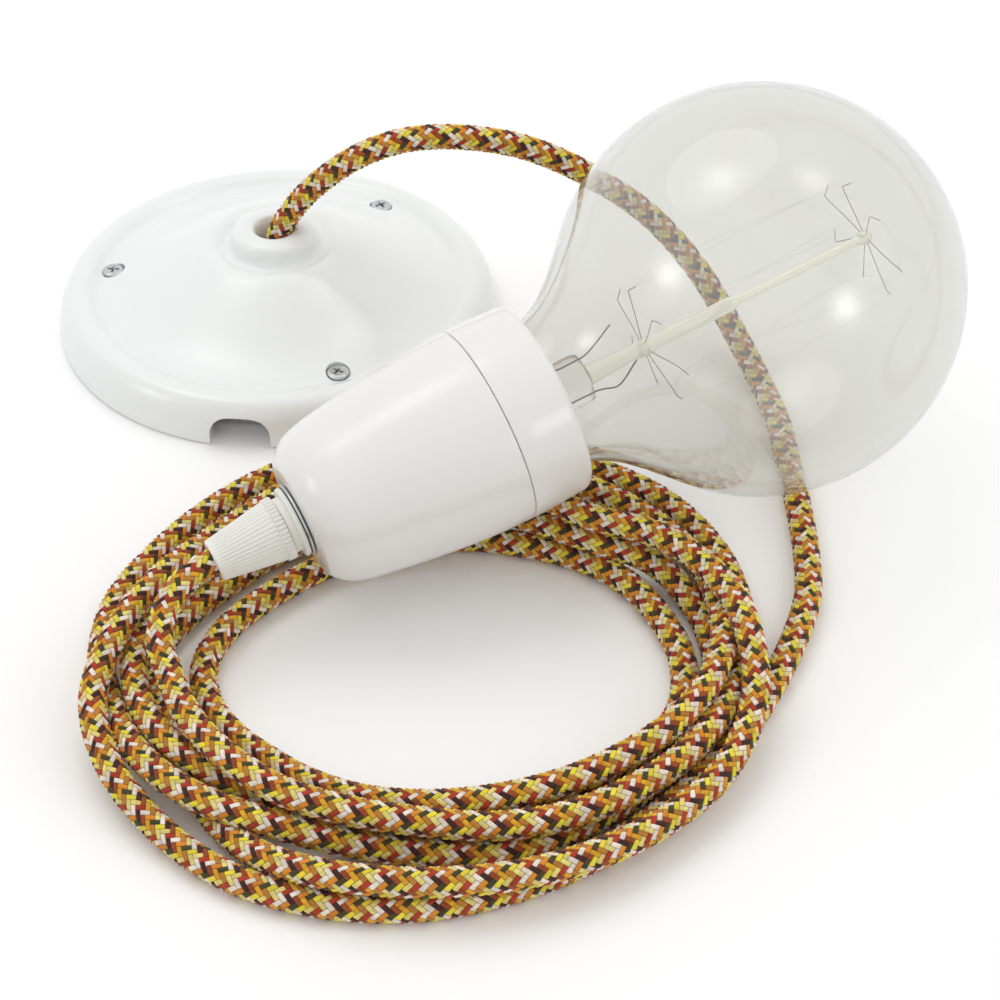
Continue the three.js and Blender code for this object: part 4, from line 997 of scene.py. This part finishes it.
def make_holder_dome():
    top = HOLDER_SEAM - SEAM_GAP / 2
    outer = [
        (HOLDER_END_RADIUS - 1.6, 0.0), (HOLDER_END_RADIUS - 0.3, 0.35), (HOLDER_END_RADIUS + 0.9, 1.2),
        (HOLDER_END_RADIUS + 2.1, 2.4), (HOLDER_SHOULDER_RADIUS - 1.3, HOLDER_SHOULDER_LENGTH * 0.53),
        (HOLDER_SHOULDER_RADIUS, HOLDER_SHOULDER_LENGTH),
    ]
    for step in range(1, 9):
        height = HOLDER_SHOULDER_LENGTH + (top - 0.5 - HOLDER_SHOULDER_LENGTH) * step / 8
        outer.append((dome_radius(height), height))
    skin = smooth_profile(outer).tolist()
    edge = dome_radius(top)
    skin += [(edge - 0.03, top - 0.22), (edge - 0.14, top - 0.06), (edge - 0.35, top)]
    bore = SPIGOT_RADIUS + SEAM_GAP
    inner = [
        (bore, top), (bore, top * 0.86), (bore - 0.3, top * 0.72), (bore - 1.6, top * 0.5),
        (INSERT_RADIUS + CLEARANCE, INSERT_BACK), (HOLDER_END_RADIUS - 0.6, HOLDER_FLOOR + 3),
        (HOLDER_END_RADIUS - 3, HOLDER_FLOOR), (HOLDER_BORE, HOLDER_FLOOR), (HOLDER_BORE, 0.3),
        (HOLDER_BORE + 0.3, 0.0),
    ]
    add_turned("porcelain_holder_dome", skin + inner, 160, warm_glaze, "holder_dome")


def make_holder_skirt():
    base = HOLDER_SEAM + SEAM_GAP / 2
    low = HOLDER_SEAM - SPIGOT_LENGTH
    profile = rounded([
        (SPIGOT_BORE, low, 0.3), (SPIGOT_RADIUS, low, 0.3), (SPIGOT_RADIUS, base, 0.0),
        (HOLDER_RADIUS, base, 0.4), (HOLDER_RADIUS + 0.1, base + 4.0, 3.0),
        (HOLDER_RADIUS - 0.15, (base + HOLDER_LENGTH) / 2, 3.0),
        (HOLDER_RADIUS - 0.55, HOLDER_LENGTH, 1.9), (MOUTH_BORE, HOLDER_LENGTH, 0.9),
        (MOUTH_BORE, base + 4.6, 0.5), (SPIGOT_BORE, base + 3.4, 0.5),
    ], 8)
    add_turned("porcelain_holder_skirt", profile, 160, warm_glaze, "holder_skirt")


def make_grip():
    """The washer, the flanged collet and the ribbed cap, at the holder's small end."""
    bore = GRIP_THREAD_RADIUS + CLEARANCE
    ring = rounded([
        (bore, WASHER_BACK, 0.15), (WASHER_RADIUS, WASHER_BACK, 0.2),
        (WASHER_RADIUS, -CLEARANCE, 0.2), (bore, -CLEARANCE, 0.15)])
    add_turned("steel_washer", ring, 96, zinc, "metal_washer")

    end = FLANGE_BACK - COLLET_LENGTH
    collet = rounded([
        (GRIP_BORE, end, 0.2), (COLLET_RADIUS - 0.9, end, 0.3), (COLLET_RADIUS, end + 2.4, 0.4),
        (COLLET_RADIUS, CAP_TOP + 0.15, 0.0), (COLLAR_RADIUS, CAP_TOP + 0.15, 0.1),
        (COLLAR_RADIUS, FLANGE_BACK, 0.0), (FLANGE_RADIUS, FLANGE_BACK, 0.5),
        (FLANGE_RADIUS, FLANGE_TOP, 0.5), (GRIP_THREAD_RADIUS, FLANGE_TOP, 0.0),
        (GRIP_THREAD_RADIUS, GRIP_THREAD_END, 0.5), (GRIP_BORE, GRIP_THREAD_END, 0.2)])
    add_turned("grip_collet", collet, 96, cream, "grip_base")

    crown = CAP_TOP - CROWN_LENGTH
    slope = (CAP_WIDE_RADIUS - CAP_NARROW_RADIUS) / (crown - CAP_END)
    room = COLLET_RADIUS + CLEARANCE
    room_end = FLANGE_BACK - COLLET_LENGTH - 1
    side = [(CAP_NARROW_RADIUS + slope * 1.0, CAP_END + 1.0, 0.0)]
    for step in range(1, 15):
        height = CAP_END + 1.0 + (crown - CAP_END - 1.0) * step / 15
        side.append((CAP_NARROW_RADIUS + slope * (height - CAP_END), height, 0.0))
    profile = rounded([
        (GRIP_BORE, CAP_END, 0.3), (CAP_NARROW_RADIUS, CAP_END, 0.6), *side,
        (CAP_WIDE_RADIUS, crown, 0.0), (CAP_WIDE_RADIUS + CROWN_STEP, crown, 0.15),
        (CAP_WIDE_RADIUS + CROWN_STEP, CAP_TOP, 0.3), (room, CAP_TOP, 0.2),
        (room, room_end, 0.2), (GRIP_BORE, room_end - 1.5, 0.3)])
    cap = turned_mesh("cap", profile, RIB_COUNT * 12)
    ribs = ribs_tree("ribs along the cap", cream)
    cap = run_tree(ribs, cap, {
        "Rib Count": RIB_COUNT, "Groove Depth": RIB_DEPTH * MM, "Sharpness": 1.6,
        "From Height": (CAP_END + 0.7) * MM, "To Height": (crown - 0.1) * MM, "Fade": 0.7 * MM,
        "Least Radius": (CAP_NARROW_RADIUS - 0.4) * MM,
    })
    teeth = ribs_tree("teeth round the crown", cream)
    cap = run_tree(teeth, cap, {
        "Rib Count": CROWN_TEETH, "Groove Depth": CROWN_STEP * 1.5 * MM, "Sharpness": 2.0,
        "From Height": (crown + 0.02) * MM, "To Height": (CAP_TOP + 1.0) * MM, "Fade": 0.05 * MM,
        "Least Radius": (CAP_WIDE_RADIUS - 0.1) * MM,
    })
    add_piece("ribbed_grip_cap", cap, cream, HEAD, replaces=("grip_cap",), sharp=50)


# Bulb

def bezier(points, steps):
    p0, p1, p2, p3 = [np.array(p, float) for p in points]
    t = np.linspace(0, 1, steps, endpoint=False)[:, None]
    return (1 - t) ** 3 * p0 + 3 * t * (1 - t) ** 2 * p1 + 3 * t * t * (1 - t) * p2 + t ** 3 * p3


def glass_outline():
    """From the root in the cap, along the neck and the flare, to the top of the globe."""
    start = math.radians(GLOBE_JOIN_ANGLE)
    join = (GLOBE_RADIUS * math.cos(start), GLOBE_REACH + GLOBE_RADIUS * math.sin(start))
    pull = (join[0] + FLARE_PULL * math.sin(start), join[1] - FLARE_PULL * math.cos(start))
    neck = bezier([(NECK_ROOT_RADIUS, CAP_RIM + 1), (NECK_ROOT_RADIUS + 0.4, CAP_RIM + 4.5),
                   (NECK_RADIUS - 1.2, NECK_PLACE - 6), (NECK_RADIUS, NECK_PLACE)], 14)
    flare = bezier([(NECK_RADIUS, NECK_PLACE), (NECK_RADIUS + 1.4, NECK_PLACE + NECK_PULL), pull, join], 18)
    angles = np.linspace(start, math.pi / 2, 44)
    globe = np.stack([GLOBE_RADIUS * np.cos(angles), GLOBE_REACH + GLOBE_RADIUS * np.sin(angles)], axis=1)
    globe[-1, 0] = 0.0
    return np.vstack([[(NECK_ROOT_RADIUS, NECK_ROOT)], neck, flare, globe])


def make_globe():
    outer = glass_outline()
    along = np.gradient(outer, axis=0)
    along /= np.linalg.norm(along, axis=1)[:, None]
    inner = outer + np.stack([-along[:, 1], along[:, 0]], axis=1) * GLASS_WALL
    inner[-1] = (0.0, outer[-1, 1] - GLASS_WALL)
    profile = [tuple(p) for p in outer] + [tuple(p) for p in inner[::-1]]
    add_turned("globe_glass", profile, 128, globe_glass, "bulb_glass")


def make_stem():
    """The flared tube of clear glass, pressed flat at its end round the leads."""
    root = NECK_ROOT + 1
    flare = NECK_ROOT_RADIUS - GLASS_WALL - CLEARANCE
    top = PRESS_PLACE + PRESS_LENGTH
    outside = smooth_profile([
        (flare, root), (flare - 1.2, root + 2.4), (STEM_NECK_RADIUS + 1.6, root + 7),
        (STEM_NECK_RADIUS, root + 12), (STEM_NECK_RADIUS, PRESS_PLACE),
        (STEM_NECK_RADIUS - 0.4, top - 0.6), (STEM_NECK_RADIUS - 1.2, top)])
    inside = outside[:-10][::-1] - np.array([STEM_WALL, 0])
    profile = [tuple(p) for p in outside] + [(0.0, top), (0.0, PRESS_PLACE - 3)]
    profile += [tuple(p) for p in inside if p[1] < PRESS_PLACE - 5]
    shell = turned_mesh("stem", profile, 64)
    for vertex in shell.vertices:
        share = min(max((vertex.co.z / MM - PRESS_PLACE + 6) / 6, 0.0), 1.0)
        share = share * share * (3 - 2 * share)
        vertex.co.x *= 1 + share * (PRESS_WIDTH / (2 * STEM_NECK_RADIUS) - 1)
        vertex.co.y *= 1 + share * (PRESS_THICKNESS / (2 * STEM_NECK_RADIUS) - 1)
    turn = Matrix.Rotation(math.radians(STEM_TURN), 4, "Z")
    add_piece("stem_glass", shell, stem_glass, HEAD @ turn,
              replaces=("bulb_stem",))


def make_rod():
    """The rod of pale glass on the stem, with the two beads that the hooked wires stand in."""
    foot = PRESS_PLACE + PRESS_LENGTH + 0.05
    tip = UPPER_HUB_PLACE + HUB_LENGTH / 2
    low, high = LOWER_HUB_PLACE - HUB_LENGTH / 2, LOWER_HUB_PLACE + HUB_LENGTH / 2
    profile = rounded([
        (0, foot, 0), (WEDGE_RADIUS, foot, 0.2), (ROD_RADIUS, low - 1.5, 2.0), (ROD_RADIUS, low, 0.2),
        (HUB_RADIUS, low + 1, 0.6), (HUB_RADIUS, high - 1, 0.6), (ROD_RADIUS, high, 0.2),
        (ROD_RADIUS, ROD_STEP_PLACE, 0.5), (THIN_ROD_RADIUS, ROD_STEP_PLACE + 1, 0.4),
        (THIN_ROD_RADIUS, tip - HUB_LENGTH, 0.2), (HUB_RADIUS - 0.4, tip - HUB_LENGTH + 1, 0.6),
        (HUB_RADIUS - 0.4, tip - 1, 0.8), (0, tip, 0)])
    add_turned("rod_glass", profile, 40, rod_glass, "bulb_stem")


def make_leads():
    top = PRESS_PLACE + PRESS_LENGTH
    away = PRESS_WIDTH / 2 - 2
    leads = []
    for angle, swing in ((STEM_TURN, 0.0), (STEM_TURN + 180, LEAD_SWING)):
        path = smooth_curve([
            polar(away, angle, PRESS_PLACE - 4), polar(away, angle, top - 1),
            polar(away * 1.1, angle, top + 2),
            polar(away * 1.4, angle + swing * 0.3, top + 5),
            polar(away * 2, angle + swing, LOWER_HUB_PLACE - 5)], 6)
        leads.append(tube_mesh("lead", path, LEAD_RADIUS, 12))
    add_piece("lead_wires", joined_mesh("leads", leads), lead, HEAD,
              replaces=("lead_wire_1", "lead_wire_2"))


def make_support(name, node, place, lean, turn):
    """Fine wires round a hub, each with its end bent over to hold the filament."""
    reach = SUPPORT_REACH
    rise = lean * reach
    path = smooth_curve([
        (HUB_RADIUS - 0.9, 0, 0), (reach * 0.5, 0.1, rise * 0.5), (reach - 0.4, 0, rise),
        (reach, 0.15, rise + 0.05), (reach + 0.15, 0.5, rise + 0.3),
        (reach + 0.4, HOOK_LENGTH * 0.6, rise + 0.9), (reach + 0.8, HOOK_LENGTH, rise + 1.4)], 5)
    hook = tube_mesh("hook", path, WIRE_RADIUS, 8)
    tree = ring_of_copies_tree(f"wires of the {name}", wire)
    hooks = run_tree(tree, hook, {
        "Count": SUPPORT_COUNT, "Circle Radius": 0.0, "First Angle": math.radians(turn),
        "Turn per Copy": 0.0, "Shrink per Copy": SUPPORT_SHRINK,
    })
    lift = Matrix.Translation((0, 0, place * MM))
    add_piece(name, hooks, wire, HEAD @ lift, replaces=(node,))


def make_filament():
    """The very fine wire that runs from hook to hook, up and down between the hubs."""
    points = []
    for index in range(SUPPORT_COUNT):
        size = 1 - SUPPORT_SHRINK * (index % 3)
        reach = (SUPPORT_REACH + 0.6) * size
        spread = 360 / SUPPORT_COUNT * index
        lower = LOWER_HUB_PLACE + (LOWER_LEAN * SUPPORT_REACH + 0.8) * size
        upper = UPPER_HUB_PLACE + (UPPER_LEAN * SUPPORT_REACH + 0.8) * size
        ends = [polar(reach, LOWER_TURN + spread + 4, lower), polar(reach, UPPER_TURN + spread + 4, upper)]
        if index % 2 == 1:
            ends.reverse()
        points.extend(ends)
    path = smooth_curve(points, 12)
    add_piece("filament_wire", tube_mesh("filament", path, FILAMENT_RADIUS, 6), wire, HEAD,
              replaces=("filament",))


make_rose()
make_rose_screws()
make_holder_dome()
make_holder_skirt()
make_grip()
make_globe()
make_stem()
make_rod()
make_leads()
make_support("lower_wires", "lower_support", LOWER_HUB_PLACE, LOWER_LEAN, LOWER_TURN)
make_support("upper_wires", "upper_support", UPPER_HUB_PLACE, UPPER_LEAN, UPPER_TURN)
make_filament()

# Finishes on the solids that are shown as they are
CARRIED = {
    "porcelain": glaze, "insert_ceramic": ceramic, "cream_plastic": cream, "white_plastic": white,
    "zinc_steel": zinc, "brass": brass, "nickel_sheet": nickel, "black_glass": black,
    "wire_metal": wire, "clear_glass": globe_glass, "brown_sleeve": brown, "blue_sleeve": blue,
    "braid": braid,
}
slots = {part["node"]: part["material_slot"] for part in frame["record"]["subparts"]}
for node, solid in frame["nodes"].items():
    for place_no in range(len(solid.material_slots)):
        solid.material_slots[place_no].material = CARRIED[slots[node]]

# Stage: a pale floor, soft lamps and a white surrounding
bpy.ops.mesh.primitive_plane_add(size=FLOOR_SIZE, location=(0, 0, 0))
floor = bpy.context.object
floor.name = "floor"
floor_finish, floor_graph, floor_shader = new_material("pale floor")
camera_ray = floor_graph.add("ShaderNodeLightPath").outputs["Is Camera Ray"]
floor_graph.fill(floor_shader, {
    "Base Color": floor_graph.mix_colour(camera_ray, linear(FLOOR_BOUNCE), linear(FLOOR_WHITE)),
    "Roughness": 0.9, "Specular IOR Level": 0.0,
})
floor.data.materials.append(floor_finish)


def add_lamp(name, size, place, aim, power):
    lamp = add_object(name, bpy.data.lights.new(name, "AREA"))
    lamp.data.shape = "ELLIPSE"
    lamp.data.size, lamp.data.size_y = size
    lamp.data.energy = power
    lamp.location = place
    lamp.visible_glossy = False
    lamp.rotation_euler = (Vector(aim) - Vector(place)).to_track_quat("-Z", "Y").to_euler()


for lamp_settings in LAMPS:
    add_lamp(*lamp_settings)

world = bpy.data.worlds.new("white surrounding")
bpy.context.scene.world = world
world.use_nodes = True
sky = Graph(world.node_tree)
background = world.node_tree.nodes["Background"]
background.inputs["Color"].default_value = (1.0, 1.0, 1.0, 1.0)
rays = sky.add("ShaderNodeLightPath").outputs
seen = sky.math("MAXIMUM", rays["Is Camera Ray"],
                sky.math("MAXIMUM", rays["Is Glossy Ray"], rays["Is Transmission Ray"]))
level = sky.math("MULTIPLY_ADD", seen, 1 - SKY_LEVEL, SKY_LEVEL)
toward = sky.add("ShaderNodeTexCoord").outputs["Generated"]
for direction, sharpness, gain in SKY_SPOTS:
    aligned = sky.add("ShaderNodeVectorMath", {0: toward, 1: Vector(direction).normalized()},
                      operation="DOT_PRODUCT").outputs["Value"]
    spot = sky.math("POWER", sky.math("MAXIMUM", aligned, 0.0), sharpness)
    spot = sky.math("MULTIPLY", sky.math("MULTIPLY", spot, gain), rays["Is Glossy Ray"])
    level = sky.math("ADD", level, spot)
sky.put(background.inputs["Strength"], level)

bpy.context.scene.view_settings.view_transform = "Standard"
